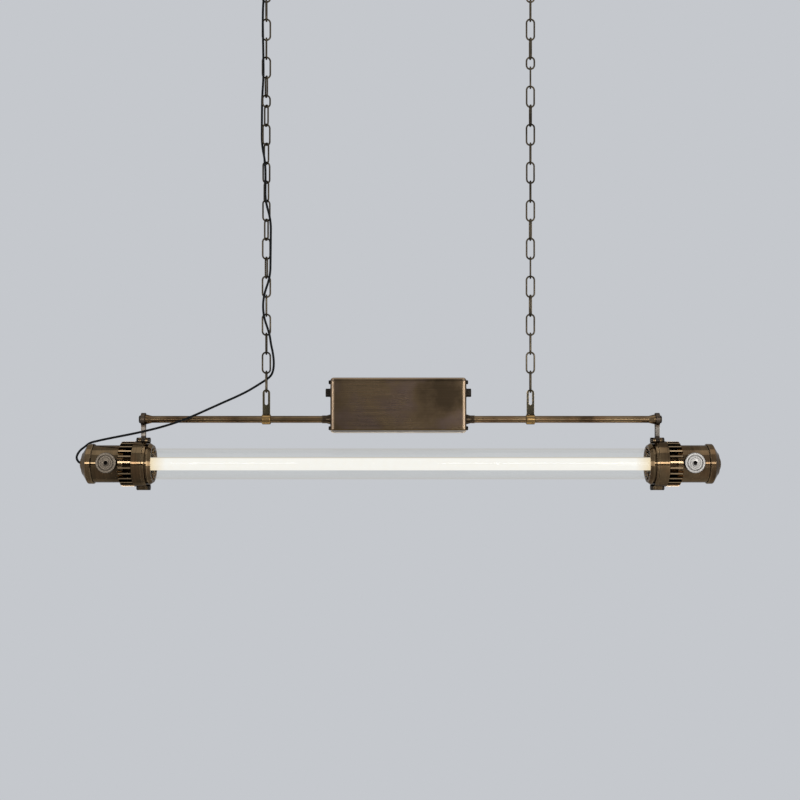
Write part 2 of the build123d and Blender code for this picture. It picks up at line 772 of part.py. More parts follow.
def rod(offset):
    """A tube from inside the gear box to a flared, tapped end, set further out by an offset."""
    bolt_r = PIVOT_BOLT_R + THREAD_FIT
    start = BOX_HALF - ROD_IN_BOX
    end = ROD_END_X + offset
    flare_end = end - ROD_FACE_LENGTH
    plug_x = end - ROD_PLUG_LENGTH
    solid = turned(
        [
            (start, ROD_BORE_R),
            (start, ROD_R),
            (flare_end - ROD_FLARE_LENGTH, ROD_R),
            (flare_end, ROD_FLARE_R),
            (end, ROD_FLARE_R),
            (end, bolt_r),
            (plug_x, bolt_r),
            (plug_x, ROD_BORE_R),
        ]
    )
    return Pos(0, 0, ROD_RISE) * solid


def pivot_bolts():
    """The bolts in the rods' ends that the hangers turn on, with their washers."""
    washer_x = HANGER_END_X + SEAM / 2
    head_x = washer_x + PIVOT_WASHER_THICK
    bolt = bar(PIVOT_BOLT_R, ROD_END_X - PIVOT_BOLT_DEPTH, washer_x)
    bolt += bar(PIVOT_WASHER_R, washer_x, head_x)
    bolt += hexagon(PIVOT_HEX, head_x, head_x + PIVOT_HEX_HIGH, turn=30)
    return both(Pos(0, 0, ROD_RISE) * bolt)


def rod_sockets():
    """A tapered socket outside each cover and a nut inside it, where the rod goes in."""
    bore = ROD_R + THREAD_FIT
    nut_end = BOX_HALF - COVER_THICK
    nut = hexagon(LOCKNUT_HEX, nut_end - LOCKNUT_HIGH, nut_end, z=ROD_RISE)
    nut -= bar(bore, nut_end - LOCKNUT_HIGH - 1, nut_end + 1, z=ROD_RISE)
    ring_x = BOX_HALF + SOCKET_CONE_LENGTH
    end_x = ring_x + SOCKET_RING_LENGTH
    socket = turned(
        [
            (BOX_HALF, bore),
            (BOX_HALF, SOCKET_R),
            (ring_x, SOCKET_RING_R),
            (end_x, SOCKET_RING_R),
            (end_x, bore),
        ]
    )
    return both(group([nut, Pos(0, 0, ROD_RISE) * socket]))


def box_outline(inset):
    """The gear box's rounded outline, drawn in by a distance."""
    return Pos(0, BOX_MIDDLE) * RectangleRounded(
        BOX_DEPTH - 2 * inset, BOX_HEIGHT - 2 * inset, BOX_EDGE_R - inset
    )


def box_length(inset, start, end):
    """A length of the gear box's outline along X."""
    return extrude(Plane.YZ.offset(start) * box_outline(inset), amount=end - start)


def cover_screw_places():
    """The four corners where a cover's screws go, as (y, z)."""
    y = BOX_DEPTH / 2 - COVER_SCREW_INSET
    z = BOX_HEIGHT / 2 - COVER_SCREW_INSET
    return [(sy * y, BOX_MIDDLE + sz * z) for sy in (1, -1) for sz in (1, -1)]


def box_shell():
    """The sleeve of the gear box, with tapped blocks in its corners for the covers' screws."""
    shell = box_length(0, -SHELL_HALF, SHELL_HALF)
    hollow = box_length(BOX_WALL, -SHELL_HALF, SHELL_HALF)
    shell -= hollow
    block_end = CORNER_BLOCK_END_X
    for y, z in cover_screw_places():
        corner_y = math.copysign(BOX_DEPTH / 2, y)
        corner_z = BOX_MIDDLE + math.copysign(BOX_HEIGHT / 2, z - BOX_MIDDLE)
        low_y, high_y = sorted((corner_y, corner_y - math.copysign(CORNER_BLOCK, y)))
        low_z, high_z = sorted(
            (corner_z, corner_z - math.copysign(CORNER_BLOCK, z - BOX_MIDDLE))
        )
        corner = block(
            (block_end - CORNER_BLOCK_LENGTH, low_y, low_z), (block_end, high_y, high_z)
        )
        corner &= box_length(BOX_WALL / 2, 0, SHELL_HALF)
        corner -= bar(COVER_SCREW_R + THREAD_FIT, 0, SHELL_HALF, y=y, z=z)
        shell += corner
        shell += mirrored(corner)
    return shell


def box_end():
    """An end cover: a rounded cap with a tongue inside the shell, drilled for the rod and the plug."""
    cover = box_length(0, SHELL_HALF, BOX_HALF)
    cover = fillet(cover.faces().sort_by(Axis.X)[-1].edges(), COVER_EDGE_R)
    tongue_inset = BOX_WALL + FIT
    cover += box_length(tongue_inset, SHELL_HALF - COVER_TONGUE, SHELL_HALF)
    cover -= box_length(
        tongue_inset + COVER_TONGUE_WALL, SHELL_HALF - COVER_TONGUE - 1, BOX_HALF - COVER_THICK
    )
    cover -= bar(ROD_R + HOLE_FIT, SHELL_HALF, BOX_HALF + 1, z=ROD_RISE)
    cover -= bar(BLANK_STEM_R + HOLE_FIT, SHELL_HALF, BOX_HALF + 1, z=BLANK_Z)
    for y, z in cover_screw_places():
        cover -= bar(COVER_SCREW_R + HOLE_FIT, SHELL_HALF - COVER_TONGUE - 1, BOX_HALF + 1, y=y, z=z)
    return cover


def box_end_screws():
    """Four pan head screws in each cover."""
    screws = []
    for y, z in cover_screw_places():
        shank = bar(COVER_SCREW_R, BOX_HALF - COVER_SCREW_LENGTH, BOX_HALF, y=y, z=z)
        head = bar(COVER_SCREW_HEAD_R, BOX_HALF, BOX_HALF + COVER_SCREW_HEAD_HIGH, y=y, z=z)
        head = fillet(head.faces().sort_by(Axis.X)[-1].edges(), COVER_SCREW_HEAD_HIGH / 2)
        screws.append(shank + head)
    return both(group(screws))


def box_blanking_plugs():
    """A hexagonal plug in the spare cable entry of each cover."""
    flange_end = BOX_HALF + BLANK_FLANGE_HIGH
    plug = bar(BLANK_STEM_R, BOX_HALF - BLANK_STEM_LENGTH, BOX_HALF, z=BLANK_Z)
    plug += bar(BLANK_FLANGE_R, BOX_HALF, flange_end, z=BLANK_Z)
    plug += hexagon(BLANK_HEX, flange_end, flange_end + BLANK_HEX_HIGH, z=BLANK_Z, turn=30)
    return both(plug)


def tray_top():
    """The height of the driver tray's upper face."""
    return BOX_BOTTOM + BOX_WALL + TRAY_HEIGHT


def driver_screw_places():
    """The two places along X where screws hold the driver's ears."""
    reach = DRIVER_LENGTH / 2 + DRIVER_EAR_LENGTH / 2
    return [DRIVER_X - reach, DRIVER_X + reach]


def driver_tray():
    """A channel that stands on the gear box's floor, drilled for the driver's screws."""
    half, width = TRAY_HALF, TRAY_WIDTH / 2
    floor, top = BOX_BOTTOM + BOX_WALL, tray_top()
    tray = block((-half, -width, floor), (half, width, top))
    tray -= block(
        (-half - 1, -width + TRAY_THICK, floor - 1), (half + 1, width - TRAY_THICK, top - TRAY_THICK)
    )
    for x in driver_screw_places():
        tray -= upright(DRIVER_SCREW_R + THREAD_FIT, floor, top + 1, x)
    return tray


def led_driver():
    """The driver: a case with a fixing ear at each end, on the tray."""
    half, width, base = DRIVER_LENGTH / 2, DRIVER_WIDTH / 2, tray_top()
    ear = half + DRIVER_EAR_LENGTH
    middle = DRIVER_X
    case = block((middle - half, -width, base), (middle + half, width, base + DRIVER_HEIGHT))
    case += block((middle - ear, -width, base), (middle + ear, width, base + DRIVER_EAR_THICK))
    for x in driver_screw_places():
        case -= upright(DRIVER_SCREW_R + HOLE_FIT / 2, base - 1, base + DRIVER_EAR_THICK + 1, x)
    return case


def driver_screws():
    """Two screws through the driver's ears into the tray."""
    base = tray_top() + DRIVER_EAR_THICK
    screws = []
    for x in driver_screw_places():
        shank = upright(DRIVER_SCREW_R, base - DRIVER_EAR_THICK - TRAY_THICK, base, x)
        screws.append(shank + upright(DRIVER_SCREW_HEAD_R, base, base + SCREW_HEAD_HIGH, x))
    return group(screws)


def box_terminal_block():
    """The terminal block at the right end of the tray."""
    start = TRAY_HALF - TERMINAL_INSET - TERMINAL_LENGTH
    half, base = TERMINAL_WIDTH / 2, tray_top()
    return block((start, -half, base), (start + TERMINAL_LENGTH, half, base + TERMINAL_HEIGHT))


def chain_bracket():
    """A slotted plate with a round top for the lowest link, on a band round the rod."""
    arch_r = BRACKET_WIDTH / 2
    slot_r = SLOT_WIDTH / 2
    top = SLOT_TOP + BRACKET_TOP_WALL
    outline = make_face(
        Polyline(
            (-arch_r, ROD_RISE),
            (arch_r, ROD_RISE),
            (arch_r, top - arch_r),
            (-arch_r, top - arch_r),
            close=True,
        )
    )
    outline += Pos(0, top - arch_r) * Circle(arch_r)
    slot_low, slot_high = SLOT_TOP - SLOT_LENGTH + slot_r, SLOT_TOP - slot_r
    for z in (slot_low, slot_high):
        outline -= Pos(0, z) * Circle(slot_r)
    outline -= Pos(0, (slot_low + slot_high) / 2) * Rectangle(SLOT_WIDTH, slot_high - slot_low)
    plate = extrude(Plane.XZ * outline, amount=BRACKET_THICK / 2, both=True)
    band = bar(BAND_R, -BAND_WIDTH / 2, BAND_WIDTH / 2, z=ROD_RISE)
    band = fillet(band.edges().filter_by(GeomType.CIRCLE), BAND_EDGE_R)
    solid = plate + band
    solid -= bar(ROD_R + FIT / 2, -BAND_WIDTH, BAND_WIDTH, z=ROD_RISE)
    solid -= across(GRUB_R + THREAD_FIT, 0, BAND_R + 1, 0, ROD_RISE)
    return Pos(CHAIN_X, 0, 0) * solid


def bracket_grub_screws():
    """A grub screw at the back of each bracket's band, against the rod."""
    return both(across(GRUB_R, ROD_R + FIT / 2, BAND_R - FIT, CHAIN_X, ROD_RISE))


def chain_link(span):
    """One oval link across X, its lowest wire centred on the origin."""
    straight = span - 2 * LINK_R
    middle = span / 2
    arc = Torus(LINK_R, WIRE_R, major_angle=180, align=None)
    link = Pos(0, 0, LINK_R + straight) * Rot(90, 0, 0) * arc
    link += Pos(0, 0, LINK_R) * Rot(-90, 0, 0) * arc
    for side in (1, -1):
        link += Pos(side * LINK_R, 0, middle) * Cylinder(WIRE_R, straight)
    return link


def link_heights(short_link):
    """The height of each link's lowest wire, from the bracket up, with its span."""
    heights = []
    z = FIRST_LINK_Z
    for number in range(1, LINKS + 1):
        span = SHORT_LINK_SPAN if number == short_link else LINK_SPAN
        heights.append((number, z, span))
        z += span - LINK_OVERLAP
    return heights


def left_twist(number):
    """How far a link of the left chain has turned, most at the middle of the chain."""
    return LEFT_TWIST * math.sin(math.pi * (number - 2) / (LINKS - 3)) ** 2


def right_twist(number):
    """How far a link of the right chain has turned, a little to and fro."""
    return (
        RIGHT_TWIST
        * math.sin(math.pi * (number - 2) / (LINKS - 3))
        * math.sin(RIGHT_TWIST_STEP * number)
    )


def chain(x, short_link, twist):
    """The chain's links: the lowest, the middle ones as a group, and the top one."""
    links = []
    for number, z, span in link_heights(short_link):
        across_view = 90 if number % 2 else 0
        turn = twist(number) if 2 < number < LINKS - 1 else 0
        links.append(Pos(x, 0, z) * Rot(0, 0, across_view + turn) * chain_link(span))
    return links[0], group(links[1:-1]), links[-1]


def ceiling_hook():
    """An open hook with a shoulder under the canopy and a threaded shank."""
    open_turn = 90 + 360 - HOOK_ARC
    ring = Rot(90, 0, 0) * Rot(0, 0, open_turn) * Torus(
        HOOK_RING_R, HOOK_WIRE_R, major_angle=HOOK_ARC, align=None
    )
    tip = math.radians(open_turn)
    ring += Pos(HOOK_RING_R * math.cos(tip), 0, HOOK_RING_R * math.sin(tip)) * Sphere(HOOK_WIRE_R)
    hook = Pos(CHAIN_X, 0, HOOK_RING_Z) * ring
    hook += upright(HOOK_WIRE_R, HOOK_RING_Z + HOOK_RING_R, CANOPY_BOTTOM, CHAIN_X)
    hook += upright(HOOK_SHOULDER_R, CANOPY_BOTTOM - HOOK_SHOULDER_HIGH, CANOPY_BOTTOM, CHAIN_X)
    hook += upright(HOOK_SHANK_R, CANOPY_BOTTOM, CEILING - HOOK_END_BELOW_CEILING, CHAIN_X)
    return hook


def canopy():
    """A spun dish that stands against the ceiling, with a hole for the hook's shank."""
    dish = upright(CANOPY_R, CANOPY_BOTTOM, CEILING, CHAIN_X)
    dish = fillet(dish.edges().sort_by(Axis.Z)[0], CANOPY_EDGE_R)
    inside = upright(CANOPY_R - CANOPY_WALL, CANOPY_BOTTOM + CANOPY_WALL, CEILING, CHAIN_X)
    inside = fillet(inside.edges().sort_by(Axis.Z)[0], CANOPY_EDGE_R - CANOPY_WALL)
    dish -= inside
    return dish - upright(HOOK_SHANK_R + HOLE_FIT / 2, CANOPY_BOTTOM - 1, CEILING, CHAIN_X)


def cable_canopy():
    """The left canopy, with a second hole for the cable grip."""
    grip_hole = upright(
        GRIP_R + FIT, CANOPY_BOTTOM - 1, CANOPY_BOTTOM + CANOPY_WALL + 1, -CHAIN_X + GRIP_X, GRIP_Y
    )
    return mirrored(canopy()) - grip_hole


def ceiling_strap():
    """The bent strap that two ceiling screws hold, with the hook's hole in its lowered middle."""
    foot_in = STRAP_HOLE_SPACING / 2 - STRAP_FOOT
    foot_out = STRAP_HOLE_SPACING / 2 + STRAP_FOOT
    low = CEILING - STRAP_DROP - STRAP_THICK
    half = [
        (foot_in - STRAP_DROP - STRAP_THICK, low),
        (foot_in, CEILING - STRAP_THICK),
        (foot_out, CEILING - STRAP_THICK),
        (foot_out, CEILING),
        (foot_in - STRAP_THICK / 2, CEILING),
        (foot_in - STRAP_DROP - 1.5 * STRAP_THICK, low + STRAP_THICK),
    ]
    outline = half + [(-y, z) for y, z in reversed(half)]
    face = make_face(Polyline(*outline, close=True))
    strap = extrude(Plane.YZ.offset(CHAIN_X - STRAP_WIDTH / 2) * face, amount=STRAP_WIDTH)
    for side in (1, -1):
        strap -= upright(
            STRAP_HOLE_R,
            CEILING - STRAP_THICK - 1,
            CEILING + 1,
            CHAIN_X,
            side * STRAP_HOLE_SPACING / 2,
        )
    return strap - upright(HOOK_SHANK_R + HOLE_FIT / 2, low - 1, low + STRAP_THICK + 1, CHAIN_X)


def canopy_nuts():
    """The nuts that hold the hooks in the straps."""
    base = CEILING - STRAP_DROP
    outline = RegularPolygon(STRAP_NUT_HEX, 6, major_radius=False)
    nut = extrude(Pos(CHAIN_X, 0, base) * outline, amount=STRAP_NUT_HIGH)
    nut -= upright(HOOK_SHANK_R + THREAD_FIT, base - 1, base + STRAP_NUT_HIGH + 1, CHAIN_X)
    return both(nut)


def cable_grip():
    """The nipple that the cable goes up through into the left canopy."""
    x = -CHAIN_X + GRIP_X
    top = CANOPY_BOTTOM + CANOPY_WALL + GRIP_IN_CANOPY
    grip = upright(GRIP_R, CANOPY_BOTTOM - GRIP_LENGTH, top, x, GRIP_Y)
    grip += upright(GRIP_HEAD_R, CANOPY_BOTTOM - GRIP_LENGTH, CANOPY_BOTTOM, x, GRIP_Y)
    return grip - upright(
        CABLE_R + CABLE_FIT, CANOPY_BOTTOM - GRIP_LENGTH - 1, top + 1, x, GRIP_Y
    )


def supply_terminal_block():
    """The terminal block on the floor of the left canopy."""
    x, y, base = -CHAIN_X + SUPPLY_BLOCK_X, SUPPLY_BLOCK_Y, CANOPY_BOTTOM + CANOPY_WALL
    half_x, half_y = TERMINAL_LENGTH / 2, TERMINAL_WIDTH / 2
    return block(
        (x - half_x, y - half_y, base), (x + half_x, y + half_y, base + TERMINAL_HEIGHT)
    )


def cable_tubes():
    """The cable as two tubes that meet halfway between the routes' neighbouring ends."""
    route = [Vector(*point) for point in CABLE_DROP_ROUTE + CABLE_LEAD_ROUTE]
    runs = [(b - a).length for a, b in zip(route, route[1:])]
    radii = []
    for before, here, after in zip(range(len(route)), range(1, len(route)), range(2, len(route))):
        turn = (route[here] - route[before]).get_angle(route[after] - route[here])
        shorter = min(runs[before], runs[here])
        radii.append(ARC_SHARE * shorter / math.tan(math.radians(turn) / 2))
    split = len(CABLE_DROP_ROUTE)
    meeting = (route[split - 1] + route[split]) / 2
    tubes = []
    for points, corner_radii in (
        (route[:split] + [meeting], radii[: split - 1]),
        ([meeting] + route[split:], radii[split - 1 :]),
    ):
        path = FilletPolyline(*points, radius=corner_radii)
        start = Plane(origin=points[0], z_dir=points[1] - points[0])
        tube = sweep(start * Circle(CABLE_R), path=path)
        area = math.pi * CABLE_R**2
        print("cable length", round(path.length, 1), "volume share", tube.volume / area / path.length)
        tubes.append(Pos(-CHAIN_X, 0, 0) * tube)
    print("cable radii", [round(radius) for radius in radii])
    return tubes


def pieces():
    """Every named piece of the light."""
    nodes = {
        "glass_tube": on_lamp(glass_tube()),
        "lamp_tube": on_lamp(lamp_tube()),
        "lamp_end_caps": on_lamp(lamp_end_caps()),
        "lamp_pins": on_lamp(lamp_pins()),
        "led_board": on_lamp(led_board()),
        "end_cap_seals": on_lamp(both(end_cap_seal())),
        "lampholder_screws": on_lamp(lampholder_screws()),
        "head_terminal_block": on_lamp(head_terminal_block()),
        "clamp_bolts": on_lamp(clamp_bolts()),
        "clamp_nuts": on_lamp(clamp_nuts()),
        "pivot_bolts": on_lamp(pivot_bolts()),
        "rod_sockets": rod_sockets(),
        "box_shell": box_shell(),
        "box_end_screws": box_end_screws(),
        "box_blanking_plugs": box_blanking_plugs(),
        "driver_tray": driver_tray(),
        "led_driver": led_driver(),
        "driver_screws": driver_screws(),
        "box_terminal_block": box_terminal_block(),
        "left_box_end": mirrored(box_end()),
        "right_box_end": box_end(),
        "left_rod": mirrored(rod(-LAMP_OFF_CENTRE)),
        "right_rod": rod(LAMP_OFF_CENTRE),
        "bracket_grub_screws": bracket_grub_screws(),
        "canopy_nuts": canopy_nuts(),
        "cable_grip": cable_grip(),
        "supply_terminal_block": supply_terminal_block(),
        "cable_gland": on_lamp(cable_gland()),
        "left_end_cap": on_lamp(cable_end_cap()),
        "right_end_cap": on_lamp(end_cap()),
        "left_canopy": cable_canopy(),
        "right_canopy": canopy(),
    }
    for name, make in (
        ("head_body", head_body),
        ("clamp_ring", clamp_ring),
        ("glass_gasket", glass_gasket),
        ("side_plug", side_plug),
        ("lampholder", lampholder),
        ("lampholder_plate", lampholder_plate),
        ("hanger", hanger),
    ):
        right = make()
        nodes[f"right_{name}"] = on_lamp(right)
        nodes[f"left_{name}"] = on_lamp(mirrored(right))
    for name, make in (
        ("chain_bracket", chain_bracket),
        ("ceiling_hook", ceiling_hook),
        ("ceiling_strap", ceiling_strap),
    ):
        right = make()
        nodes[f"right_{name}"] = right
        nodes[f"left_{name}"] = mirrored(right)
    for side, x, short_link, twist in (
        ("left", -CHAIN_X, LEFT_SHORT_LINK, left_twist),
        ("right", CHAIN_X, RIGHT_SHORT_LINK, right_twist),
    ):
        bottom, middle, top = chain(x, short_link, twist)
        nodes[f"{side}_bottom_link"] = bottom
        nodes[f"{side}_chain_links"] = middle
        nodes[f"{side}_top_link"] = top
    nodes["power_cable_drop"], nodes["power_cable_lead"] = cable_tubes()
    return nodes


os.makedirs("parts", exist_ok=True)
print("ceiling above the tube's axis", round(CEILING, 3), "hook", round(HOOK_Z, 3))
for node, shape in pieces().items():
    export_step(Pos(0, 0, -CEILING) * group([shape]), f"parts/{node}.step")
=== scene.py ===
"""Dress a linear pendant light and set it in front of a plain pale studio backdrop.

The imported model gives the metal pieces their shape. This script gives every piece its finish, makes the
glass, the lamp, the turned plugs and the power cable as meshes of their own, and sets up the camera and the
lights. All lengths are metres in the model's frame: +X along the lamp, +Z up to the ceiling at zero, the
front at -Y.
"""

from __future__ import annotations

import json
import logging
import math
from dataclasses import dataclass, field
from enum import Enum

import bmesh
import bpy
from mathutils import Matrix, Vector

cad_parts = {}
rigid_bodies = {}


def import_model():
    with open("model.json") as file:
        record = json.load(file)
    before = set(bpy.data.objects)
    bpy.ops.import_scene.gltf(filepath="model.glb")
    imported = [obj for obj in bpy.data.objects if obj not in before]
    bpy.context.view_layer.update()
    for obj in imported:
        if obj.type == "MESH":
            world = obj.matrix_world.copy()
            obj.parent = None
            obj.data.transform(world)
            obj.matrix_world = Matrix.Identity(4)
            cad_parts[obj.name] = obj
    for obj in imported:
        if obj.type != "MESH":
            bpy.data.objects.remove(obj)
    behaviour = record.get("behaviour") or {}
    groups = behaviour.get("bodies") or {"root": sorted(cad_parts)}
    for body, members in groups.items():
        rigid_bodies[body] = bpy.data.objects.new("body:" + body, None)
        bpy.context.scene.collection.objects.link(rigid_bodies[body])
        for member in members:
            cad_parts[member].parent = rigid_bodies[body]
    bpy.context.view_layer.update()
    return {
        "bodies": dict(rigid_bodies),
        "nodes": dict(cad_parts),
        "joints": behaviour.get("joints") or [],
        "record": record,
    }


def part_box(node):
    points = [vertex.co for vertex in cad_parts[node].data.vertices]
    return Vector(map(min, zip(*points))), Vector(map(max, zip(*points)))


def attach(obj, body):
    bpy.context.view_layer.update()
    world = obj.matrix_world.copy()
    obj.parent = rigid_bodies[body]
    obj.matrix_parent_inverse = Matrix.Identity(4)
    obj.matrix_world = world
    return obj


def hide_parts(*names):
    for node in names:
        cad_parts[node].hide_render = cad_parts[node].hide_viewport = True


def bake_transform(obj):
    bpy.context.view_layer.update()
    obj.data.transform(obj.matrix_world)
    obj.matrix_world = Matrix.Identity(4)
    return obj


log = logging.getLogger("pendant")

Colour = tuple[float, float, float]
Point = tuple[float, float, float]
Range = tuple[float, float]
Corners = list[tuple[float, float]]
Socket = bpy.types.NodeSocket

MM = 0.001
EVEN: Point = (1.0, 1.0, 1.0)

# Nearly all of a noise's values lie between these two.
NOISE_RANGE: Range = (0.3, 0.7)


def linear(red: int, green: int, blue: int) -> Colour:
    """Turn a display colour into the linear one that shaders take.

    Args:
        red: Red from 0 to 255.
        green: Green from 0 to 255.
        blue: Blue from 0 to 255.

    Returns:
        The linear colour, each part from 0 to 1.
    """
    parts = []
    for value in (red, green, blue):
        share = value / 255.0
        parts.append(share / 12.92 if share <= 0.04045 else ((share + 0.055) / 1.055) ** 2.4)
    return (parts[0], parts[1], parts[2])


def middle_of(node: str) -> Point:
    """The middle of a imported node's box."""
    low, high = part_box(node)
    return tuple((a + b) / 2 for a, b in zip(low, high))


class Grain(Enum):
    """Which way a metal's fine marks run, as the stretch of its noise along X, Y and Z."""

    AROUND = (900.0, 14.0, 14.0)
    ALONG = (9.0, 700.0, 700.0)
    UPRIGHT = (700.0, 700.0, 12.0)
    CAST = (260.0, 260.0, 260.0)


class Side(Enum):
    """The two ends of the light, with the sign of their X."""

    LEFT = -1
    RIGHT = 1

    @property
    def word(self) -> str:
        """The side's word in the names of the pieces."""
        return self.name.lower()


class NodeTree:
    """A node tree, with short calls that add nodes and feed their inputs."""

    def __init__(self, tree: bpy.types.NodeTree) -> None:
        """Start with an empty tree.

        Args:
            tree: Blender's tree.
        """
        self.tree = tree
        self.tree.nodes.clear()

    def add(
        self, kind: str, inputs: dict[str | int, object] | None = None, **settings: object
    ) -> bpy.types.Node:
        """Add a node, set its own properties and feed its inputs.

        Args:
            kind: The node's type.
            inputs: A socket, a colour, a vector or a number for each input.
            **settings: The node's own properties.

        Returns:
            The node.
        """
        node = self.tree.nodes.new(kind)
        for key, value in settings.items():
            setattr(node, key, value)
        for key, value in (inputs or {}).items():
            self.feed(node.inputs[key], value)
        return node

    def feed(self, target: Socket, value: object) -> None:
        """Link or set an input.

        Args:
            target: The input.
            value: Another socket, a colour, a vector or a number.
        """
        if isinstance(value, Socket):
            self.tree.links.new(value, target)
        elif target.type == "RGBA":
            target.default_value = (*value, 1.0)
        else:
            target.default_value = value

    def math(self, operation: str, first: object, second: object) -> Socket:
        """Combine two sockets or numbers."""
        return self.add("ShaderNodeMath", {0: first, 1: second}, operation=operation).outputs["Value"]

    def seen(self) -> Socket:
        """Tell the rays that show a thing from those that only light others.

        Returns:
            A socket with 1 on the camera's rays and those that mirrors and glass pass on, else 0.
        """
        rays = self.add("ShaderNodeLightPath").outputs
        shown = self.math("MAXIMUM", rays["Is Camera Ray"], rays["Is Glossy Ray"])
        return self.math("MAXIMUM", shown, rays["Is Transmission Ray"])


class ShaderTree(NodeTree):
    """One material's nodes."""

    def __init__(self, name: str) -> None:
        """Start a material with a plain shader.

        Args:
            name: The material's name.
        """
        self.material = bpy.data.materials.new(name)
        self.material.use_nodes = True
        super().__init__(self.material.node_tree)
        self.principled = self.add("ShaderNodeBsdfPrincipled")
        self.output = self.add("ShaderNodeOutputMaterial", {"Surface": self.principled.outputs["BSDF"]})
        self.place = self.add("ShaderNodeTexCoord").outputs["Object"]

    def noise(self, scale: float, detail: float, rough: float = 0.55, stretch: Point = EVEN) -> Socket:
        """A noise over the piece's own place.

        Args:
            scale: The noise's scale.
            detail: The number of finer layers.
            rough: How strong the finer layers are.
            stretch: How much the noise is squeezed along X, Y and Z.

        Returns:
            The noise's value socket.
        """
        mapping = self.add("ShaderNodeMapping", {"Vector": self.place, "Scale": stretch})
        recipe = {"Vector": mapping.outputs["Vector"], "Scale": scale, "Detail": detail, "Roughness": rough}
        return self.add("ShaderNodeTexNoise", recipe).outputs["Fac"]

    def spread(
        self, value: Socket, low: float, high: float, to_low: float = 0.0, to_high: float = 1.0
    ) -> Socket:
        """Map a value from one range to another, clamped.

        Args:
            value: The socket to map.
            low: The value that gives to_low.
            high: The value that gives to_high.
            to_low: The result at low.
            to_high: The result at high.

        Returns:
            The mapped socket.
        """
        recipe = {"Value": value, "From Min": low, "From Max": high, "To Min": to_low, "To Max": to_high}
        return self.add("ShaderNodeMapRange", recipe).outputs["Result"]

    def split(self) -> tuple[Socket, Socket, Socket]:
        """The three parts of the piece's own place."""
        parts = self.add("ShaderNodeSeparateXYZ", {"Vector": self.place}).outputs
        return parts["X"], parts["Y"], parts["Z"]

    def square(self, value: Socket) -> Socket:
        """A socket's value times itself."""
        return self.math("MULTIPLY", value, value)

    def mix(self, share: object, first: object, second: object, blend: str = "MIX") -> Socket:
        """Mix two colours.

        Args:
            share: A number or socket from 0, all first, to 1, all second.
            first: A colour or socket.
            second: A colour or socket.
            blend: Blender's blend type.

        Returns:
            The mixed colour's socket.
        """
        inputs = {0: share, 6: first, 7: second}
        return self.add("ShaderNodeMix", inputs, data_type="RGBA", blend_type=blend).outputs[2]

    def shade(self, colour: Socket, value: Socket) -> Socket:
        """Multiply a colour by a value."""
        grey = self.add("ShaderNodeCombineColor", {0: value, 1: value, 2: value})
        return self.mix(1.0, colour, grey.outputs["Color"], "MULTIPLY")

    def edges(self, radius: float) -> Socket:
        """A mask that is 1 along a solid's edges and 0 on its faces.

        Args:
            radius: How far the mask reaches from an edge.

        Returns:
            The mask's socket.
        """
        flat_cosine, edge_cosine = 0.995, 0.86
        rounded = self.add("ShaderNodeBevel", {"Radius": radius}, samples=4).outputs["Normal"]
        flat = self.add("ShaderNodeNewGeometry").outputs["Normal"]
        dot = self.add("ShaderNodeVectorMath", {0: rounded, 1: flat}, operation="DOT_PRODUCT")
        return self.spread(dot.outputs["Value"], flat_cosine, edge_cosine)

    def open_air(self, distance: float) -> Socket:
        """How open each point lies, from 0 in a crevice to 1 on a free face."""
        return self.add("ShaderNodeAmbientOcclusion", {"Distance": distance}, samples=4).outputs["AO"]

    def relief(self, height: Socket, strength: float, distance: float) -> None:
        """Bump the surface by a height."""
        bump = self.add("ShaderNodeBump", {"Height": height, "Strength": strength, "Distance": distance})
        self.set(Normal=bump.outputs["Normal"])

    def set(self, **values: object) -> None:
        """Feed the shader's own inputs, with _ for a space in their names."""
        for key, value in values.items():
            self.feed(self.principled.inputs[key.replace("_", " ")], value)


@dataclass(frozen=True)
class TurnedBand:
    """A stretch of a turned piece beyond or within a radius: fins' bare tips, the painted shade in their gaps
    or a bore.
    """

    colour: Colour
    first: float
    last: float
    axis: float
    radius: float
    outside: bool = True
    strength: float = 0.42
    soft: float = 0.3 * MM

    def mask(self, tree: ShaderTree) -> Socket:
        """A mask that is strong on the faces beyond or within the radius.

        Args:
            tree: The material that the mask is for.

        Returns:
            The mask's socket.
        """
        along, across, up = tree.split()
        rise = tree.math("SUBTRACT", up, self.axis)
        out = tree.math("POWER", tree.math("ADD", tree.square(across), tree.square(rise)), 0.5)
        ends = (0.0, self.strength) if self.outside else (self.strength, 0.0)
        share = tree.spread(out, self.radius - self.soft, self.radius, *ends)
        inside = tree.math("GREATER_THAN", along, self.first)
        inside = tree.math("MULTIPLY", inside, tree.math("LESS_THAN", along, self.last))
        return tree.math("MULTIPLY", share, inside)


@dataclass(frozen=True)
class LevelBand:
    """A strip of a piece between two heights, or two distances along X, such as a worn edge, a painted
    highlight or a dark eye.
    """

    colour: Colour
    bottom: float
    top: float
    strength: float = 0.9
    soft: float = 0.8 * MM
    along_x: bool = False

    def mask(self, tree: ShaderTree) -> Socket:
        """A mask that is strong between the two heights.

        Args:
            tree: The material that the mask is for.

        Returns:
            The mask's socket.
        """
        along, _, up = tree.split()
        level = along if self.along_x else up
        above = tree.spread(level, self.bottom - self.soft, self.bottom, 0.0, self.strength)
        return tree.math("MULTIPLY", above, tree.spread(level, self.top, self.top + self.soft, 1.0, 0.0))


@dataclass(frozen=True)
class Finish:
    """A material that is built from its fields."""

    name: str

    def material(self) -> bpy.types.Material:
        """Build the finish.

        Returns:
            The material.
        """
        tree = ShaderTree(self.name)
        self.paint(tree)
        return tree.material

    def paint(self, tree: ShaderTree) -> None:
        """Add the finish's nodes.

        Args:
            tree: The new material's nodes.
        """
        raise NotImplementedError


